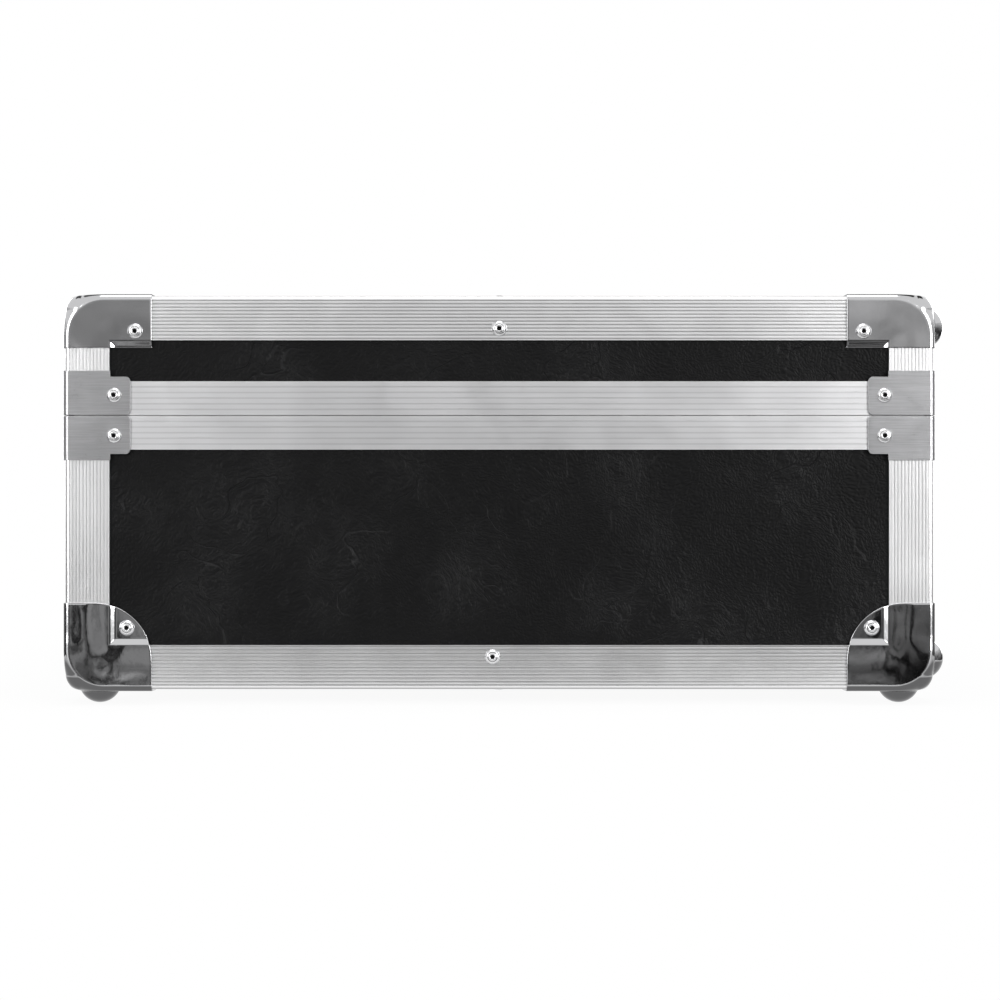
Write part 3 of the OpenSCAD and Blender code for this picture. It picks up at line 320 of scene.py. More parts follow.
def makeChrome(name, color, wave, roughness, downShade=1.0):
    # pressed sheet: a bright skin over the slow waves that the press leaves, with painted shade that darkens
    # its colour where it faces down
    look = {
        "waveScale": 46,
        "fineScale": 230,
        "fine": 0.05,
        "waveDepth": 0.0011,
        "down": (-0.16, -0.03),  # the normal's height over which the painted shade fades out
        "smudge": 0.05,
        "scratch": 0.12,
    }
    material, tree, shader = newMaterial(name, color, Metallic=1.0)
    place = addNode(tree, "ShaderNodeTexCoord")
    slow = addNode(tree, "ShaderNodeTexNoise", Scale=look["waveScale"], Detail=1.0, Roughness=0.3,
        Distortion=0.5)
    fine = addNode(tree, "ShaderNodeTexNoise", Scale=look["fineScale"], Detail=2.0, Roughness=0.5)
    for noise in (slow, fine):
        tree.links.new(place.outputs["Object"], noise.inputs["Vector"])
    facing = addNode(tree, "ShaderNodeSeparateXYZ")
    tree.links.new(place.outputs["Normal"], facing.inputs[0])
    # painted shade: the colour darkens where the sheet faces down, standing in for the dark it would mirror
    facingDownShade = mapRange(tree, facing.outputs["Z"], *look["down"], downShade, 1)
    tintBetween(tree, facingDownShade, (0, 0, 0), color, shader)
    marks = placeGroup(tree, handling, Scale=70.0)
    rough = mathNode(tree, "ADD",
        mapRange(tree, marks.outputs["Smudge"], 0, 1, roughness, roughness + look["smudge"]),
        mapRange(tree, marks.outputs["Scratch"], 0, 1, 0, look["scratch"]))
    tree.links.new(rough, shader.inputs["Roughness"])
    height = mathNode(tree, "ADD", slow.outputs[0], mathNode(tree, "MULTIPLY", fine.outputs[0], look["fine"]))
    addBump(tree, shader, height, wave, look["waveDepth"])
    return material


def makeBrushed(name, stretch, color, roughness):
    look = {"shade": 0.82, "rough": 0.06, "bump": 0.25, "depth": 0.00008}
    material, tree, shader = newMaterial(name, color, Metallic=1.0)
    grain = placeGroup(tree, drawnGrain, Stretch=stretch, Spread=1.4)
    marks = placeGroup(tree, handling, Scale=60.0)
    dark = tuple(part * look["shade"] for part in color)
    tintBetween(tree, mapRange(tree, grain.outputs["Streak"], *streakSpan, 0, 1), dark, color, shader)
    span = (roughness - look["rough"], roughness + look["rough"])
    roughen(tree, shader, grain.outputs["Fine"], span, marks, look["rough"])
    addBump(tree, shader, grain.outputs["Streak"], look["bump"], look["depth"])
    return material


def makeFoam():
    look = {
        "dark": (0.03, 0.03, 0.032),
        "light": (0.062, 0.062, 0.066),
        "sheen": 0.15,
        "cell": 700,
        "cellShade": (0, 0.7, 0.2, 1),
        "cloud": 30,
        "mixSpan": (0.05, 0.6),
        "bump": 0.6,
        "depth": 0.0006,
    }
    settings = {"Roughness": 0.95, "Sheen Weight": look["sheen"]}
    material, tree, shader = newMaterial("foam", look["light"], **settings)
    place = addNode(tree, "ShaderNodeTexCoord")
    cells = addNode(tree, "ShaderNodeTexVoronoi", Scale=look["cell"])
    tree.links.new(place.outputs["Object"], cells.inputs["Vector"])
    cloud = addNode(tree, "ShaderNodeTexNoise", Scale=look["cloud"], Detail=4)
    tree.links.new(place.outputs["Object"], cloud.inputs["Vector"])
    walls = mapRange(tree, cells.outputs["Distance"], *look["cellShade"])
    mixed = mathNode(tree, "MULTIPLY", walls, cloud.outputs[0])
    tintBetween(tree, mapRange(tree, mixed, *look["mixSpan"], 0, 1), look["dark"], look["light"], shader)
    addBump(tree, shader, cells.outputs["Distance"], look["bump"], look["depth"])
    return material


def makeRubber():
    look = {
        "dark": (0.016, 0.016, 0.017),
        "light": (0.03, 0.03, 0.031),
        "grain": 1400,
        "rough": (0.5, 0.62),
        "bump": 0.35,
        "depth": 0.0002,
    }
    material, tree, shader = newMaterial("gripRubber", look["dark"])
    place = addNode(tree, "ShaderNodeTexCoord")
    grain = addNode(tree, "ShaderNodeTexNoise", Scale=look["grain"], Detail=3)
    tree.links.new(place.outputs["Object"], grain.inputs["Vector"])
    marks = placeGroup(tree, handling, Scale=55.0)
    tintBetween(tree, marks.outputs["Smudge"], look["dark"], look["light"], shader)
    tree.links.new(mapRange(tree, marks.outputs["Smudge"], 0, 1, *look["rough"]), shader.inputs["Roughness"])
    addBump(tree, shader, grain.outputs[0], look["bump"], look["depth"])
    return material


silver = (0.91, 0.91, 0.915)
# painted shade: the uprights are the same profile as the edges, coloured a little darker to hold back the
# light they catch
shadedUprightSilver = (0.87, 0.87, 0.875)
rimSilver = (0.79, 0.79, 0.80)
# the groove shade of each is painted shade, set apart for base edges, lid edges, uprights and rims
baseEdge = {"roughness": 0.31, "crown": 0.1, "grooveShade": 0.46}
lidEdge = {"roughness": 0.32, "crown": 0.05, "grooveShade": 0.62}
uprightEdge = {"roughness": 0.34, "crown": 0.014, "grooveShade": 0.95}
rimEdge = {"roughness": 0.36, "crown": 0, "grooveShade": 0.87}
materials = {
    "leatherette": makeLeatherette(),
    "edgeX": makeProfileMetal("edgeAlongX", "x", silver, **baseEdge),
    "edgeY": makeProfileMetal("edgeAlongY", "y", silver, **baseEdge),
    "lidEdgeX": makeProfileMetal("lidEdgeAlongX", "x", silver, **lidEdge),
    "lidEdgeY": makeProfileMetal("lidEdgeAlongY", "y", silver, **lidEdge),
    "edgeZ": makeProfileMetal("edgeAlongZ", "z", shadedUprightSilver, **uprightEdge),
    "rimX": makeProfileMetal("rimAlongX", "x", rimSilver, **rimEdge),
    "rimY": makeProfileMetal("rimAlongY", "y", rimSilver, **rimEdge),
    # the corner plates' down shade is painted shade; the plated and rivet steel get none
    "cornerChrome": makeChrome("cornerChrome", (0.58, 0.58, 0.59), wave=0.42, roughness=0.05, downShade=0.22),
    "lidChrome": makeChrome("lidCornerChrome", (0.56, 0.56, 0.57), wave=0.16, roughness=0.07, downShade=0.5),
    "plated": makeChrome("platedSteel", (0.68, 0.68, 0.69), wave=0.12, roughness=0.22),
    "rivet": makeChrome("rivetSteel", (0.74, 0.74, 0.75), wave=0.08, roughness=0.2),
    "brushed": makeBrushed("brushedSteel", (60, 60, 2600), (0.47, 0.47, 0.48), roughness=0.30),
    "pin": makeBrushed("turnedPin", (1800, 300, 300), (0.52, 0.52, 0.53), roughness=0.28),
    # painted shade: the rivets' holes get a near-black colour
    "recess": makeBrushed("rivetHoleShade", (900, 900, 900), (0.02, 0.02, 0.02), roughness=0.6),
    "foam": makeFoam(),
    "rubber": makeRubber(),
}
print("materials made:", len(materials))


# Mesh helpers

def meshPiece(name, points, faces, material, smooth=True):
    mesh = bpy.data.meshes.new(name)
    mesh.from_pydata([tuple(p) for p in points], [], [tuple(f) for f in faces])
    mesh.update()
    piece = bpy.data.objects.new(name, mesh)
    bpy.context.scene.collection.objects.link(piece)
    mesh.materials.append(material)
    mesh.polygons.foreach_set("use_smooth", [smooth] * len(mesh.polygons))
    return piece


def lathe(profile, steps):
    # turns (radius, height) pairs round Z; a radius of 0 makes a single tip
    points, faces, rings = [], [], []
    for radius, height in profile:
        if radius == 0:
            rings.append([len(points)])
            points.append((0, 0, height))
        else:
            rings.append([len(points) + i for i in range(steps)])
            for i in range(steps):
                angle = 2 * math.pi * i / steps
                points.append((radius * math.cos(angle), radius * math.sin(angle), height))
    for low, high in zip(rings, rings[1:]):
        for i in range(steps):
            j = (i + 1) % steps
            if len(low) == 1 and len(high) > 1:
                faces.append((low[0], high[j], high[i]))
            elif len(high) == 1 and len(low) > 1:
                faces.append((low[i], low[j], high[0]))
            elif len(low) > 1:
                faces.append((low[i], low[j], high[j], high[i]))
    return points, faces


def joinParts(parts):
    # joins (points, faces, matrix) and turns faces over where the matrix mirrors
    points, faces = [], []
    for partPoints, partFaces, matrix in parts:
        start = len(points)
        points += [tuple(matrix @ Vector(p)) for p in partPoints]
        flip = matrix.determinant() < 0
        faces += [tuple(start + i for i in (reversed(f) if flip else f)) for f in partFaces]
    return points, faces


def cornerMatrix(sideX, sideY, up):
    # a case corner with the inside towards +X, +Y and +Z
    size, turn = caseSize, 1 if up else -1
    x, y = sideX * size["halfLength"], size["middleY"] + sideY * size["halfDepth"]
    at = (x, y, size["bottom" if up else "top"])
    return Matrix.Translation(at) @ Matrix.Diagonal((-sideX, -sideY, turn, 1))


def softCopy(node, width, material):
    # a copy of a frame node with its sharp edges broken
    flatAngle, sharpAngle = 0.5, 40
    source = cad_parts[node]
    work = bmesh.new()
    work.from_mesh(source.data)
    bmesh.ops.remove_doubles(work, verts=work.verts, dist=sameSpot)
    bmesh.ops.dissolve_limit(work, angle_limit=math.radians(flatAngle), verts=work.verts, edges=work.edges)
    mesh = bpy.data.meshes.new(node + "_shape")
    work.to_mesh(mesh)
    work.free()
    mesh.materials.clear()
    mesh.materials.append(material)
    piece = bpy.data.objects.new(node + "_shape", mesh)
    bpy.context.scene.collection.objects.link(piece)
    bevel = piece.modifiers.new("edges", "BEVEL")
    bevel.width = width
    bevel.segments = 2
    bevel.limit_method = "ANGLE"
    bevel.angle_limit = math.radians(sharpAngle)
    bevel.harden_normals = True
    mesh.polygons.foreach_set("use_smooth", [True] * len(mesh.polygons))
    smoothing = piece.modifiers.new("normals", "WEIGHTED_NORMAL")
    smoothing.keep_sharp = True
    return piece


def islandBoxes(node):
    # the loose solids of a frame node as their low and high corners
    work = bmesh.new()
    work.from_mesh(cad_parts[node].data)
    bmesh.ops.remove_doubles(work, verts=work.verts, dist=sameSpot)
    waiting, boxes = set(work.verts), []
    while waiting:
        stack, island = [waiting.pop()], []
        while stack:
            vertex = stack.pop()
            island.append(vertex.co.copy())
            for edge in vertex.link_edges:
                other = edge.other_vert(vertex)
                if other in waiting:
                    waiting.remove(other)
                    stack.append(other)
        boxes.append((Vector(map(min, *island)), Vector(map(max, *island))))
    work.free()
    return boxes


# Corner plates

cornerPlate = {
    # millimetres, with places measured from the case's edges
    "reach": 45.0,
    "lidReach": 27.0,
    "sheet": 1.0,
    "ball": 8.5,
    "edge": 3.0,
    "stepStart": 23.6,
    "stepWidth": 2.2,
    "stepDepth": 1.5,
    "stepFillet": 0.7,
    "arc": 30.0,
    "baseCrown": 0.35,
    "lidCrown": 0.12,
    # the doming between two edges: start and width across, start and rise along
    "crownAcross": (1, 22),
    "crownAlong": (12, 14),
    "rimBevel": 0.3,
    "rimSteps": 3,
    "rimAngle": 55,
    "weld": 0.02,
    # from, to and how many rows of points
    "gridRows": ((-1, 12, 18), (12.8, 22.4, 12), (22.8, 26.6, 14), (27.4, 45, 16)),
    "lastGap": 0.2,
}
foot = {
    # millimetres; the flare's rise and bend and the cap's share are plain numbers
    "at": 15.4,
    "radius": 10.3,
    "height": 7.0,
    "flare": 1.6,
    "flareRise": 0.55,
    "flareBend": 1.6,
    "capShare": 0.97,
    "sunk": 0.1,
    "flareRings": 5,
    "capRings": 13,
    "steps": 40,
}


def softStep(value, start, width, fillet):
    # straight slope with rounded ends
    share = np.clip((value - start + fillet) / (width + 2 * fillet), 0, 1)
    return share * share * (3 - 2 * share)


def drawToArc(a, b):
    # draws the grid in, so that the plate ends on its arc
    plate = cornerPlate
    base = plate["stepStart"] + plate["stepWidth"]
    centre = plate["reach"] - plate["arc"]
    span = plate["reach"] - base

    def edgeOf(value):
        return centre + np.sqrt(np.maximum(plate["arc"] ** 2 - np.maximum(value - centre, 0) ** 2, 0))

    newA, newB = a.copy(), b.copy()
    wide = (a <= base) & (b > base)
    newB[wide] = base + (b[wide] - base) * (edgeOf(a[wide]) - base) / span
    tall = (b <= base) & (a > base)
    newA[tall] = base + (a[tall] - base) * (edgeOf(b[tall]) - base) / span
    web = (a > base) & (b > base)
    pa, pb = a[web] - base, b[web] - base
    size = np.hypot(pa, pb)
    da, db = pa / size, pb / size
    shift = base - centre
    along = shift * (da + db)
    room = -along + np.sqrt(along ** 2 + plate["arc"] ** 2 - 2 * shift ** 2)
    far = room * np.maximum(pa, pb) / span
    newA[web], newB[web] = base + da * far, base + db * far
    return newA, newB


def faceGrid(reachA, reachB, arcs):
    # one face of a plate as places (a, b) on the face plane, measured from the case's edges
    plate = cornerPlate
    row = np.concatenate([np.linspace(*marks) for marks in plate["gridRows"]])
    rows = [np.unique(np.append(row[row < reach - plate["lastGap"]], reach)) for reach in (reachA, reachB)]
    a, b = np.meshgrid(*rows, indexing="ij")
    return drawToArc(a, b) if arcs else (a, b)


def faceSurface(a, b, crown):
    # depth of the pressed web and the rounding of the edges; returns (a, b, c) with c across the face
    plate = cornerPlate
    step = np.minimum(softStep(a, plate["stepStart"], plate["stepWidth"], plate["stepFillet"]),
        softStep(b, plate["stepStart"], plate["stepWidth"], plate["stepFillet"]))
    # the rounding narrows along a circle from the ball of the corner to the fillet of the edges
    turn = (plate["ball"] - plate["edge"]) / (1 - math.sqrt(0.5))
    far = np.maximum(np.maximum(a, b), plate["ball"] - plate["sheet"])
    room = np.maximum(turn + plate["edge"] - plate["sheet"] - far, 0)
    radius = plate["edge"] + turn - np.sqrt(turn * turn - room * room)
    centre = radius - plate["sheet"]
    points = np.stack([a, b, np.full_like(a, -plate["sheet"])], axis=-1)
    core = np.maximum(points, centre[..., None])
    away = points - core
    neverZero = 1e-9
    length = np.maximum(np.linalg.norm(away, axis=-1, keepdims=True), neverZero)
    points = core + away / length * radius[..., None]

    def domed(across, along):
        (start, width), (alongStart, alongWidth) = plate["crownAcross"], plate["crownAlong"]
        share = np.clip((along - alongStart) / alongWidth, 0, 1)
        return np.sin(np.pi * np.clip((across - start) / width, 0, 1)) ** 2 * share * share * (3 - 2 * share)

    points[..., 2] += step * plate["stepDepth"] - crown * (domed(a, b) + domed(b, a))
    return points


def plateMesh(reachZ, webArcs, crown):
    # the three faces in millimetres, each with the axes turned once more
    points, faces = [], []
    full = cornerPlate["reach"]
    kinds = ((full, full, True), (full, reachZ, webArcs), (reachZ, full, webArcs))
    for turn, (reachA, reachB, arcs) in enumerate(kinds):
        a, b = faceGrid(reachA, reachB, arcs)
        start, (rows, columns) = len(points), a.shape
        points += [tuple(spot) for spot in np.roll(faceSurface(a, b, crown), turn, axis=-1).reshape(-1, 3)]
        for i in range(rows - 1):
            for j in range(columns - 1):
                p = start + i * columns + j
                faces.append((p, p + 1, p + columns + 1, p + columns))
    return points, faces


def domeProfile():
    # a foot as radius and height pairs, from under its flared edge to the crest
    radius, height, flare = foot["radius"], foot["height"], foot["flare"]
    cap = (radius * radius + height * height) / (2 * height)
    rim = math.asin(radius / cap)
    profile = [(radius + flare, -foot["sunk"])]
    for i in range(foot["flareRings"]):
        share = i / foot["flareRings"]
        across = radius + flare * (1 - share) ** foot["flareBend"]
        profile.append((across, flare * foot["flareRise"] * share ** 2))
    for i in range(foot["capRings"]):
        turn = rim * (1 - i / foot["capRings"]) * foot["capShare"]
        profile.append((cap * math.sin(turn), height - cap + cap * math.cos(turn)))
    profile.append((0, height))
    return profile


def footSpots(bottomFoot, rearFoot):
    at, skin = foot["at"], -cornerPlate["sheet"]
    spots = []
    if bottomFoot:
        spots.append(Matrix.Translation((at, at, skin)) @ Matrix.Rotation(math.pi, 4, "X"))
    if rearFoot:
        spots.append(Matrix.Translation((at, skin, at)) @ Matrix.Rotation(math.pi / 2, 4, "X"))
    return spots


def weldPlate(shell):
    # the three faces become one sheet with its outside outward, a thickness and rolled rims
    work = bmesh.new()
    work.from_mesh(shell.data)
    bmesh.ops.remove_doubles(work, verts=work.verts, dist=cornerPlate["weld"] * milli)
    bmesh.ops.recalc_face_normals(work, faces=work.faces)
    centre = Vector((0, caseSize["middleY"], (caseSize["bottom"] + caseSize["top"]) / 2))
    widest = max(work.faces, key=lambda face: face.calc_area())
    if widest.normal.dot(widest.calc_center_median() - centre) < 0:
        bmesh.ops.reverse_faces(work, faces=work.faces)
    work.to_mesh(shell.data)
    work.free()
    sheet = shell.modifiers.new("sheet", "SOLIDIFY")
    sheet.thickness = cornerPlate["sheet"] * milli
    sheet.offset = -1
    rims = shell.modifiers.new("rim", "BEVEL")
    rims.width = cornerPlate["rimBevel"] * milli
    rims.segments = cornerPlate["rimSteps"]
    rims.limit_method = "ANGLE"
    rims.angle_limit = math.radians(cornerPlate["rimAngle"])


def makeCorner(name, up, sideY, bottomFoot, rearFoot):
    # the left and right plates of one long side, each with its feet
    chrome = materials["cornerChrome" if up else "lidChrome"]
    reachZ, crown = (cornerPlate[key] for key in (("reach", "baseCrown") if up else ("lidReach", "lidCrown")))
    points, faces = plateMesh(reachZ, up, crown)
    dome, domeFaces = lathe(domeProfile(), foot["steps"])
    spots = footSpots(bottomFoot, rearFoot)
    pieces = []
    for side, sideX in (("left", -1), ("right", 1)):
        corner = cornerMatrix(sideX, sideY, up) @ Matrix.Scale(milli, 4)
        shell = meshPiece(f"{name}_{side}", *joinParts([(points, faces, corner)]), chrome)
        weldPlate(shell)
        if spots:
            feet = joinParts([(dome, domeFaces, corner @ spot) for spot in spots])
            pieces.append(meshPiece(shell.name + "_feet", *feet, chrome))
        pieces.append(shell)
    return pieces


def dressCorners():
    kinds = (
        ("base_corners_front", "base", {"up": True, "sideY": -1, "bottomFoot": True, "rearFoot": False}),
        ("base_corners_rear", "base", {"up": True, "sideY": 1, "bottomFoot": True, "rearFoot": True}),
        ("lid_corners_front", "lid", {"up": False, "sideY": -1, "bottomFoot": False, "rearFoot": False}),
        ("lid_corners_rear", "lid", {"up": False, "sideY": 1, "bottomFoot": False, "rearFoot": True}),
    )
    for node, body, kind in kinds:
        for piece in makeCorner(node.replace("corners", "plate"), **kind):
            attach(piece, body)
            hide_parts(node)
    print("corner plates pressed")


dressCorners()


# Rivets

rivetShape = {
    # millimetres; the skirt has shares of the radius with heights, the rounds have steps in or out and down
    "radius": 4.0,
    "height": 1.7,
    "skirt": ((0.4, -0.1), (1, -0.05), (1, 0.18), (0.97, 0.42)),
    "domeDrop": 0.2,
    "domeRings": 5,
    "collar": 2.2,
    "collarFoot": 0.25,
    "collarRound": ((0, 0.32), (0.2, 0.12), (0.55, 0)),
    "hole": 1.12,
    "holeRound": ((0.35, 0), (0.08, 0.12), (0, 0.35)),
    "holeDepth": 1.5,
    "steps": 32,
    "spin": 2.4,  # radians from one rivet to the next
}


def rivetProfile():
    # radius and height pairs, from under the head over its dome and collar down into the recess
    shape = rivetShape
    radius, high, collar, hole = (shape[key] for key in ("radius", "height", "collar", "hole"))
    profile = [(share * radius, height) for share, height in shape["skirt"]]
    skirt, skirtTop = profile[-1]
    for ring in range(1, shape["domeRings"] + 1):
        share = ring / shape["domeRings"]
        rise = (high - shape["domeDrop"] - skirtTop) * math.sin(share * math.pi / 2)
        profile.append((skirt + (collar + shape["collarFoot"] - skirt) * share, skirtTop + rise))
    profile += [(collar - inward, high - down) for inward, down in shape["collarRound"]]
    profile += [(hole + outward, high - down) for outward, down in shape["holeRound"]]
    floor = high - shape["holeDepth"]
    return profile + [(hole, floor), (0, floor)]


def rivetSeats(node):
    # each rivet of a frame node as its head's seat and outward direction
    size, seats = caseSize, []
    planes = [(Vector((1, 0, 0)), size["halfLength"]), (Vector((-1, 0, 0)), size["halfLength"]),
        (Vector((0, 1, 0)), size["halfDepth"] + size["middleY"]),
        (Vector((0, -1, 0)), size["halfDepth"] - size["middleY"]),
        (Vector((0, 0, 1)), size["top"]), (Vector((0, 0, -1)), -size["bottom"])]
    for low, high in islandBoxes(node):
        middle = (low + high) / 2
        out = min(planes, key=lambda plane: abs(max(plane[0].dot(low), plane[0].dot(high)) - plane[1]))[0]
        crest = max(out.dot(low), out.dot(high))
        seats.append((middle + out * (crest - out.dot(middle) - rivetShape["height"] * milli), out))
    return sorted(seats, key=lambda seat: tuple(round(part, 5) for part in seat[0]))


def dressRivets():
    head, faces = lathe(rivetProfile(), rivetShape["steps"])
    for node, body in (("base_rivets", "base"), ("lid_rivets", "lid")):
        parts = []
        for number, (seat, out) in enumerate(rivetSeats(node)):
            spin = Matrix.Rotation(number * rivetShape["spin"], 4, "Z")
            turn = out.to_track_quat("Z", "Y").to_matrix().to_4x4()
            parts.append((head, faces, Matrix.Translation(seat) @ turn @ spin @ Matrix.Scale(milli, 4)))
        piece = meshPiece(node.replace("rivets", "rivet_heads"), *joinParts(parts), materials["rivet"])
        # painted shade: the wall and floor of each head's hole take the near-black material
        piece.data.materials.append(materials["recess"])
        darkFrom = len(faces) - 2 * rivetShape["steps"]
        for polygon in piece.data.polygons:
            if polygon.index % len(faces) >= darkFrom:
                polygon.material_index = 1
        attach(piece, body)
        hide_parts(node)
        print(node, "rivets:", len(parts))


dressRivets()


# Foam pads

foamPad = {
    # metres, and two waves as radians a metre along each axis
    "step": 0.012,
    "round": 0.0035,
    "roundSteps": 4,
    "wave": 0.0006,
    "lift": 0.0002,
    "waves": ((61, 23, 0), (17, 53, -31)),
}


def padMesh(low, high):
    # a box with rounded edges whose large faces wander a little, as cut foam does
    size = high - low
    work = bmesh.new()
    placed = Matrix.Translation((low + high) / 2) @ Matrix.Diagonal((*size, 1))
    bmesh.ops.create_cube(work, size=1, matrix=placed)
    for axis in range(3):
        count = int(size[axis] / foamPad["step"])
        normal = Vector([float(axis == i) for i in range(3)])
        for i in range(1, count):
            at = low + normal * (size[axis] * i / count)
            everything = list(work.verts) + list(work.edges) + list(work.faces)
            bmesh.ops.bisect_plane(work, geom=everything, plane_co=at, plane_no=normal, dist=sameSpot)
    sharp = [edge for edge in work.edges if len(edge.link_faces) == 2 and edge.calc_face_angle(0) > 1]
    bmesh.ops.bevel(work, geom=sharp, offset=foamPad["round"], segments=foamPad["roundSteps"], profile=0.5,
        affect="EDGES", clamp_overlap=True)
    work.verts.index_update()
    for vertex in work.verts:
        place = vertex.co
        wave = math.prod(math.sin(place.dot(Vector(run))) for run in foamPad["waves"])
        depth = (wave - 1) * 0.5 * foamPad["wave"] - foamPad["lift"]
        for axis in range(3):
            side = 1 if place[axis] > (low[axis] + high[axis]) / 2 else -1
            if min(place[axis] - low[axis], high[axis] - place[axis]) < foamPad["round"]:
                place[axis] += side * depth
    points = [vertex.co.copy() for vertex in work.verts]
    faces = [[vertex.index for vertex in face.verts] for face in work.faces]
    work.free()
    return points, faces


def dressFoam():
    pads = (("base_floor_foam", "base"), ("base_wall_foam", "base"),
        ("lid_top_foam", "lid"), ("lid_wall_foam", "lid"))
    for node, body in pads:
        boxes = sorted(islandBoxes(node), key=lambda pair: tuple(pair[0]))
        for number, (low, high) in enumerate(boxes):
            piece = meshPiece(f"{node}_pad_{number + 1}", *padMesh(low, high), materials["foam"])
            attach(piece, body)
            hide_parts(node)
    print("foam laid in")


dressFoam()


# Panels and profiles keep their frame shapes and get their finish here

sides = ("front", "rear", "left", "right")
finishOf = {
    "leatherette": ["base_bottom_panel", "lid_top_panel"]
        + [f"{half}_{side}_panel" for half in ("base", "lid") for side in sides],
    "edgeX": ["base_edge_front", "base_edge_rear"],
    "edgeY": ["base_edge_left", "base_edge_right"],
    "lidEdgeX": ["lid_edge_front", "lid_edge_rear"],
    "lidEdgeY": ["lid_edge_left", "lid_edge_right"],
    "edgeZ": ["base_uprights", "lid_uprights"],
    "rimX": ["base_rim_front", "base_rim_rear", "lid_rim_front", "lid_rim_rear"],
    "rimY": ["base_rim_left", "base_rim_right", "lid_rim_left", "lid_rim_right"],
    "pin": ["handle_pins", "hinge_pins", "latch_hook_pins", "latch_wing_pin_left", "latch_wing_pin_right"],
}


def finishFrame():
    for finish, nodes in finishOf.items():
        for node in nodes:
            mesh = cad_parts[node].data
            mesh.materials.clear()
            mesh.materials.append(materials[finish])
    print("frame pieces finished")


finishFrame()


# Sheet and forged pieces with broken edges: node, body, bevel in metres, material, record slot

hardware = [
    ("base_braces", "base", 0.00022, "brushed", "brushed_steel"),
    ("lid_braces", "lid", 0.00022, "brushed", "brushed_steel"),
    ("handle_brackets", "base", 0.0003, "plated", "handle_steel"),
    ("handle_bail", "handle", 0.0008, "plated", "handle_steel"),
    ("handle_grip", "handle", 0.0005, "rubber", "grip_rubber"),
    ("latch_plate_left", "base", 0.0003, "plated", "latch_steel"),
    ("latch_plate_right", "base", 0.0003, "plated", "latch_steel"),
    ("latch_rotor_left", "rotor_left", 0.0003, "plated", "latch_steel"),
    ("latch_rotor_right", "rotor_right", 0.0003, "plated", "latch_steel"),
    ("latch_wing_left", "wing_left", 0.00035, "plated", "latch_steel"),
    ("latch_wing_right", "wing_right", 0.00035, "plated", "latch_steel"),
    ("latch_hook_left", "hook_left", 0.0003, "plated", "latch_steel"),
    ("latch_hook_right", "hook_right", 0.0003, "plated", "latch_steel"),
    ("latch_strike_left", "lid", 0.0003, "plated", "latch_steel"),
    ("latch_strike_right", "lid", 0.0003, "plated", "latch_steel"),
    ("hinge_base_leaves", "base", 0.0002, "plated", "hinge_steel"),
    ("hinge_lid_leaves", "lid", 0.0002, "plated", "hinge_steel"),
]


def dressHardware():
    for node, body, width, finish, slotName in hardware:
        piece = softCopy(node, width, materials[finish])
        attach(piece, body)
        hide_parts(node)
    print("hardware softened:", len(hardware))


dressHardware()


# Studio

studio = {
    "floorBack": -0.54,
    "floorFront": 0.45,
    "floorSide": 0.375,
    "floorColor": (0.88, 0.88, 0.88),
    "floorRoughness": 0.9,
    "floorGlow": 0.94,
    "ambient": 0.55,
}


def whereSeen(tree):
    # 1 where the camera or a mirror looks
    path = addNode(tree, "ShaderNodeLightPath")
    seen = mathNode(tree, "MAXIMUM", path.outputs["Is Camera Ray"], path.outputs["Is Glossy Ray"])
    return mathNode(tree, "MAXIMUM", seen, path.outputs["Is Transmission Ray"])


def buildWorld():
    world = bpy.data.worlds.new("studio")
    bpy.context.scene.world = world
    world.use_nodes = True
    tree = world.node_tree
    tree.nodes.clear()
    output = addNode(tree, "ShaderNodeOutputWorld")
    backdrop = addNode(tree, "ShaderNodeBackground", Color=(1, 1, 1, 1), Strength=1.0)
    ambient = addNode(tree, "ShaderNodeBackground", Color=(1, 1, 1, 1), Strength=studio["ambient"])
    mixed = addNode(tree, "ShaderNodeMixShader")
    tree.links.new(whereSeen(tree), mixed.inputs[0])
    tree.links.new(ambient.outputs[0], mixed.inputs[1])
    tree.links.new(backdrop.outputs[0], mixed.inputs[2])
    tree.links.new(mixed.outputs[0], output.inputs[0])


def fadeToWhite(tree):
    # the paper's own shade near the case, plain white at the floor's edges
    size = caseSize
    place = addNode(tree, "ShaderNodeTexCoord")
    axes = addNode(tree, "ShaderNodeSeparateXYZ")
    tree.links.new(place.outputs["Object"], axes.inputs[0])
    x, y = axes.outputs["X"], axes.outputs["Y"]
    ends = ((studio["floorFront"], x), (-studio["floorBack"], mathNode(tree, "MULTIPLY", x, -1)))
    room = [mapRange(tree, value, size["halfLength"], edge, 0, 1) for edge, value in ends]
    across = mathNode(tree, "ABSOLUTE", mathNode(tree, "SUBTRACT", y, size["middleY"]), 0)
    room.append(mapRange(tree, across, size["halfDepth"], studio["floorSide"], 0, 1))
    most = mathNode(tree, "MAXIMUM", mathNode(tree, "MAXIMUM", room[0], room[1]), room[2])
    return mapRange(tree, most, 0, 1, studio["floorGlow"], 1)


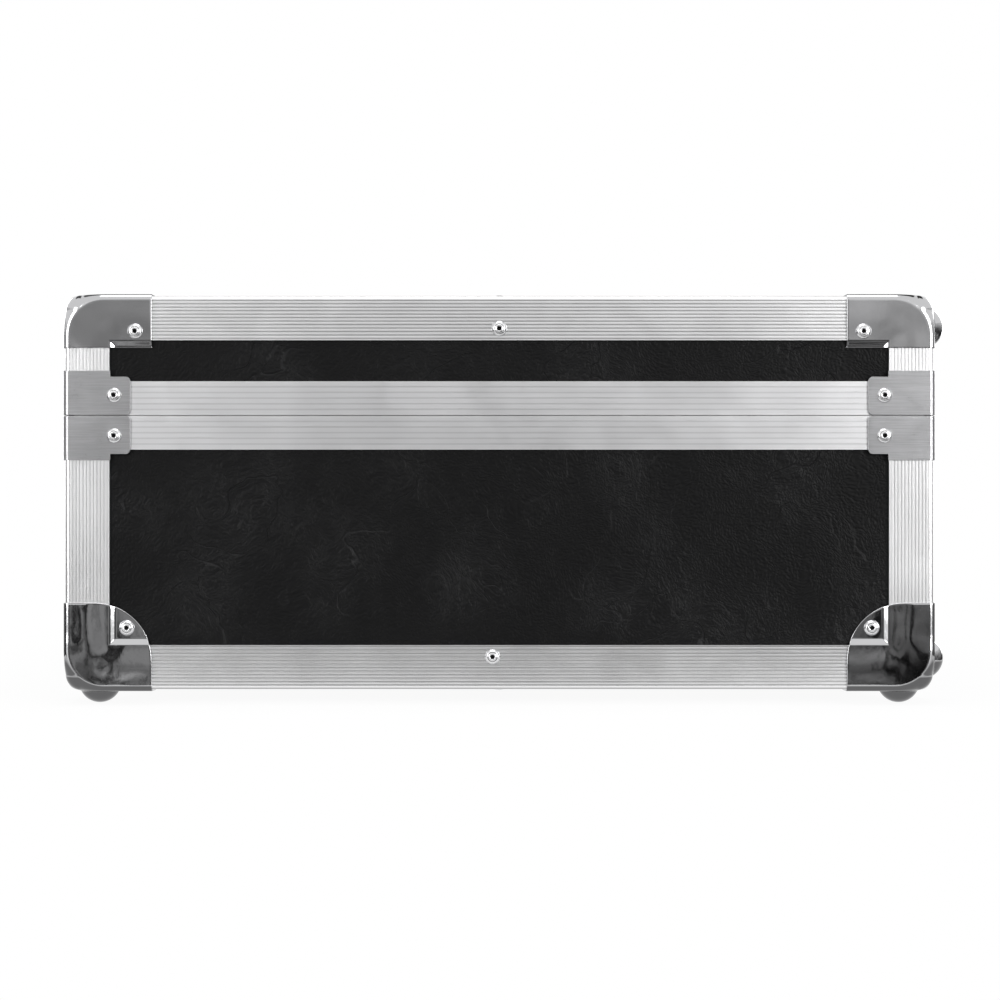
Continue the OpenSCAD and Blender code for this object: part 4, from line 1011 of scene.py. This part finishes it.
def buildFloor():
    back, front = studio["floorBack"], studio["floorFront"]
    right, left = caseSize["middleY"] - studio["floorSide"], caseSize["middleY"] + studio["floorSide"]
    corners = [(back, right, 0), (front, right, 0), (front, left, 0), (back, left, 0)]
    material = bpy.data.materials.new("floorPaper")
    material.use_nodes = True
    tree = material.node_tree
    shader = tree.nodes["Principled BSDF"]
    shader.inputs["Base Color"].default_value = (*studio["floorColor"], 1)
    shader.inputs["Roughness"].default_value = studio["floorRoughness"]
    glow = addNode(tree, "ShaderNodeEmission", Color=(1, 1, 1, 1), Strength=1.0)
    mixed = addNode(tree, "ShaderNodeMixShader")
    tree.links.new(mathNode(tree, "MULTIPLY", whereSeen(tree), fadeToWhite(tree)), mixed.inputs[0])
    tree.links.new(shader.outputs[0], mixed.inputs[1])
    tree.links.new(glow.outputs[0], mixed.inputs[2])
    tree.links.new(mixed.outputs[0], tree.nodes["Material Output"].inputs[0])
    meshPiece("floor", corners, [(0, 1, 2, 3)], material, False)


# Dark cards round the case that bright metal mirrors

cards = {
    "low": -1.0,
    "high": 0.6,
    # distance and turn round Z of each side
    "sides": ((1.75, 0), (1.6, 90), (1.75, 180), (1.6, 270)),
    # low, high and half width of each strip, and what the long sides have more
    "strips": ((-1.0, 0.08, 0.95), (0.08, 0.25, 0.5), (0.25, 0.6, 0.85)),
    "longer": 0.45,
    # share of the height and brightness
    "levels": ((0.0, 0.4), (0.4, 0.3), (0.5, 0.07), (0.64, 0.12), (0.73, 0.22), (0.82, 0.40), (1.0, 0.75)),
    # from one side to the other the brightness leans, more so low down
    "leanWidth": 0.5,
    "lean": (-0.05, 0.12, -0.45, 0.08),
    # soft spots that calm down with the height
    "cloud": 5.5,
    "stretch": (1, 2.2, 0.8),
    "patch": (0.43, 0.58, 0.1, 2.2),
    "calm": (0.05, 0.2, 1, 0.25),
    "belowReach": 2.4,
    # from, to and half width overhead; the dark part of the paper is low, so the card is lifted
    "above": (-2.6, -0.15, 1.2),
    "aboveLow": -0.2,
    "aboveLift": 2.1,
}


def cardPaper():
    material = bpy.data.materials.new("cardPaper")
    material.use_nodes = True
    tree = material.node_tree
    tree.nodes.clear()
    output = addNode(tree, "ShaderNodeOutputMaterial")
    glow = addNode(tree, "ShaderNodeEmission")
    place = addNode(tree, "ShaderNodeTexCoord")
    split = addNode(tree, "ShaderNodeSeparateXYZ")
    tree.links.new(place.outputs["Object"], split.inputs[0])
    ramp = addNode(tree, "ShaderNodeValToRGB")
    stops = ramp.color_ramp.elements
    while len(stops) < len(cards["levels"]):
        stops.new(0.5)
    for stop, (at, level) in zip(stops, cards["levels"]):
        stop.position = at
        stop.color = (level, level, level, 1)
    tree.links.new(mapRange(tree, split.outputs["Z"], cards["low"], cards["high"], 0, 1), ramp.inputs[0])
    wide = cards["leanWidth"]
    lean = mapRange(tree, split.outputs["Z"], *cards["lean"])
    share = mathNode(tree, "MULTIPLY", mapRange(tree, split.outputs["Y"], -wide, wide, -1, 1), lean)
    cloud = addNode(tree, "ShaderNodeTexNoise", Scale=cards["cloud"], Detail=2, Roughness=0.5)
    stretched = addNode(tree, "ShaderNodeMapping", Scale=cards["stretch"])
    tree.links.new(place.outputs["Object"], stretched.inputs[0])
    tree.links.new(stretched.outputs[0], cloud.inputs["Vector"])
    calm = mapRange(tree, split.outputs["Z"], *cards["calm"])
    spots = mathNode(tree, "SUBTRACT", mapRange(tree, cloud.outputs[0], *cards["patch"]), 1)
    patches = mathNode(tree, "ADD", mathNode(tree, "MULTIPLY", spots, calm), 1)
    level = mathNode(tree, "MULTIPLY", ramp.outputs[0], mathNode(tree, "ADD", share, 1))
    tree.links.new(mathNode(tree, "MULTIPLY", level, patches), glow.inputs["Strength"])
    tree.links.new(glow.outputs[0], output.inputs[0])
    return material


def hangCard(name, points, paper, turn=0, lift=0):
    card = meshPiece(name, points, [(0, 1, 2, 3)], paper, False)
    card.rotation_euler = (0, 0, math.radians(turn))
    card.location = (0, 0, lift)
    card.visible_camera = False
    card.visible_diffuse = False
    card.visible_shadow = False


def buildCards():
    paper = cardPaper()
    for far, turn in cards["sides"]:
        for number, (low, high, half) in enumerate(cards["strips"]):
            half += cards["longer"] if turn % 180 else 0
            points = [(far, -half, low), (far, half, low), (far, half, high), (far, -half, high)]
            hangCard(f"card_{turn}_{number + 1}", points, paper, turn=turn)
    reach, low = cards["belowReach"], cards["low"]
    below = [(-reach, -reach, low), (reach, -reach, low), (reach, reach, low), (-reach, reach, low)]
    hangCard("card_below", below, paper)
    (back, front, half), low = cards["above"], cards["aboveLow"]
    above = [(back, -half, low), (back, half, low), (front, half, low), (front, -half, low)]
    hangCard("card_above", above, paper, lift=cards["aboveLift"])


lamps = {
    # place, aim, size in metres and power in watts
    "keyRight": ((1.6, 1.2, 0.4), (0.3, 0.0, 0.1), (0.7, 0.9), 15),
    "fillLeft": ((1.6, -1.15, 0.4), (0.3, 0.0, 0.1), (0.6, 0.9), 8),
    "backLeft": ((-1.6, -1.3, 0.5), (-0.3, 0.0, 0.1), (0.6, 0.9), 8),
    "backRight": ((-1.6, 1.3, 0.5), (-0.3, 0.0, 0.1), (0.6, 0.9), 8),
    "topLight": ((0.5, 0.0, 1.7), (0.2, 0.0, 0.0), (1.2, 1.2), 12),
}


def hangLamps():
    for name, (at, aim, size, power) in lamps.items():
        light = bpy.data.lights.new(name, "AREA")
        light.shape = "RECTANGLE"
        light.size, light.size_y = size
        light.energy = power
        lamp = bpy.data.objects.new(name, light)
        lamp.location = at
        lamp.rotation_mode = "QUATERNION"
        lamp.rotation_quaternion = (Vector(aim) - Vector(at)).to_track_quat("-Z", "Y")
        bpy.context.scene.collection.objects.link(lamp)


def placeCamera():
    shot = {"distance": 1.05, "span": 0.518, "height": 0.1062, "side": 0.00564, "sensor": 36.0}
    camera = bpy.data.cameras.new("endView")
    camera.sensor_width = shot["sensor"]
    camera.lens = shot["sensor"] * shot["distance"] / shot["span"]
    camera.clip_start, camera.clip_end = 0.01, 50
    rig = bpy.data.objects.new("endView", camera)
    rig.location = (caseSize["halfLength"] + shot["distance"], shot["side"], shot["height"])
    rig.rotation_euler = (math.pi / 2, 0, math.pi / 2)
    bpy.context.scene.collection.objects.link(rig)
    bpy.context.scene.camera = rig


buildWorld()
buildFloor()
buildCards()
hangLamps()
placeCamera()
bpy.context.scene.view_settings.view_transform = "Standard"
print("studio built")
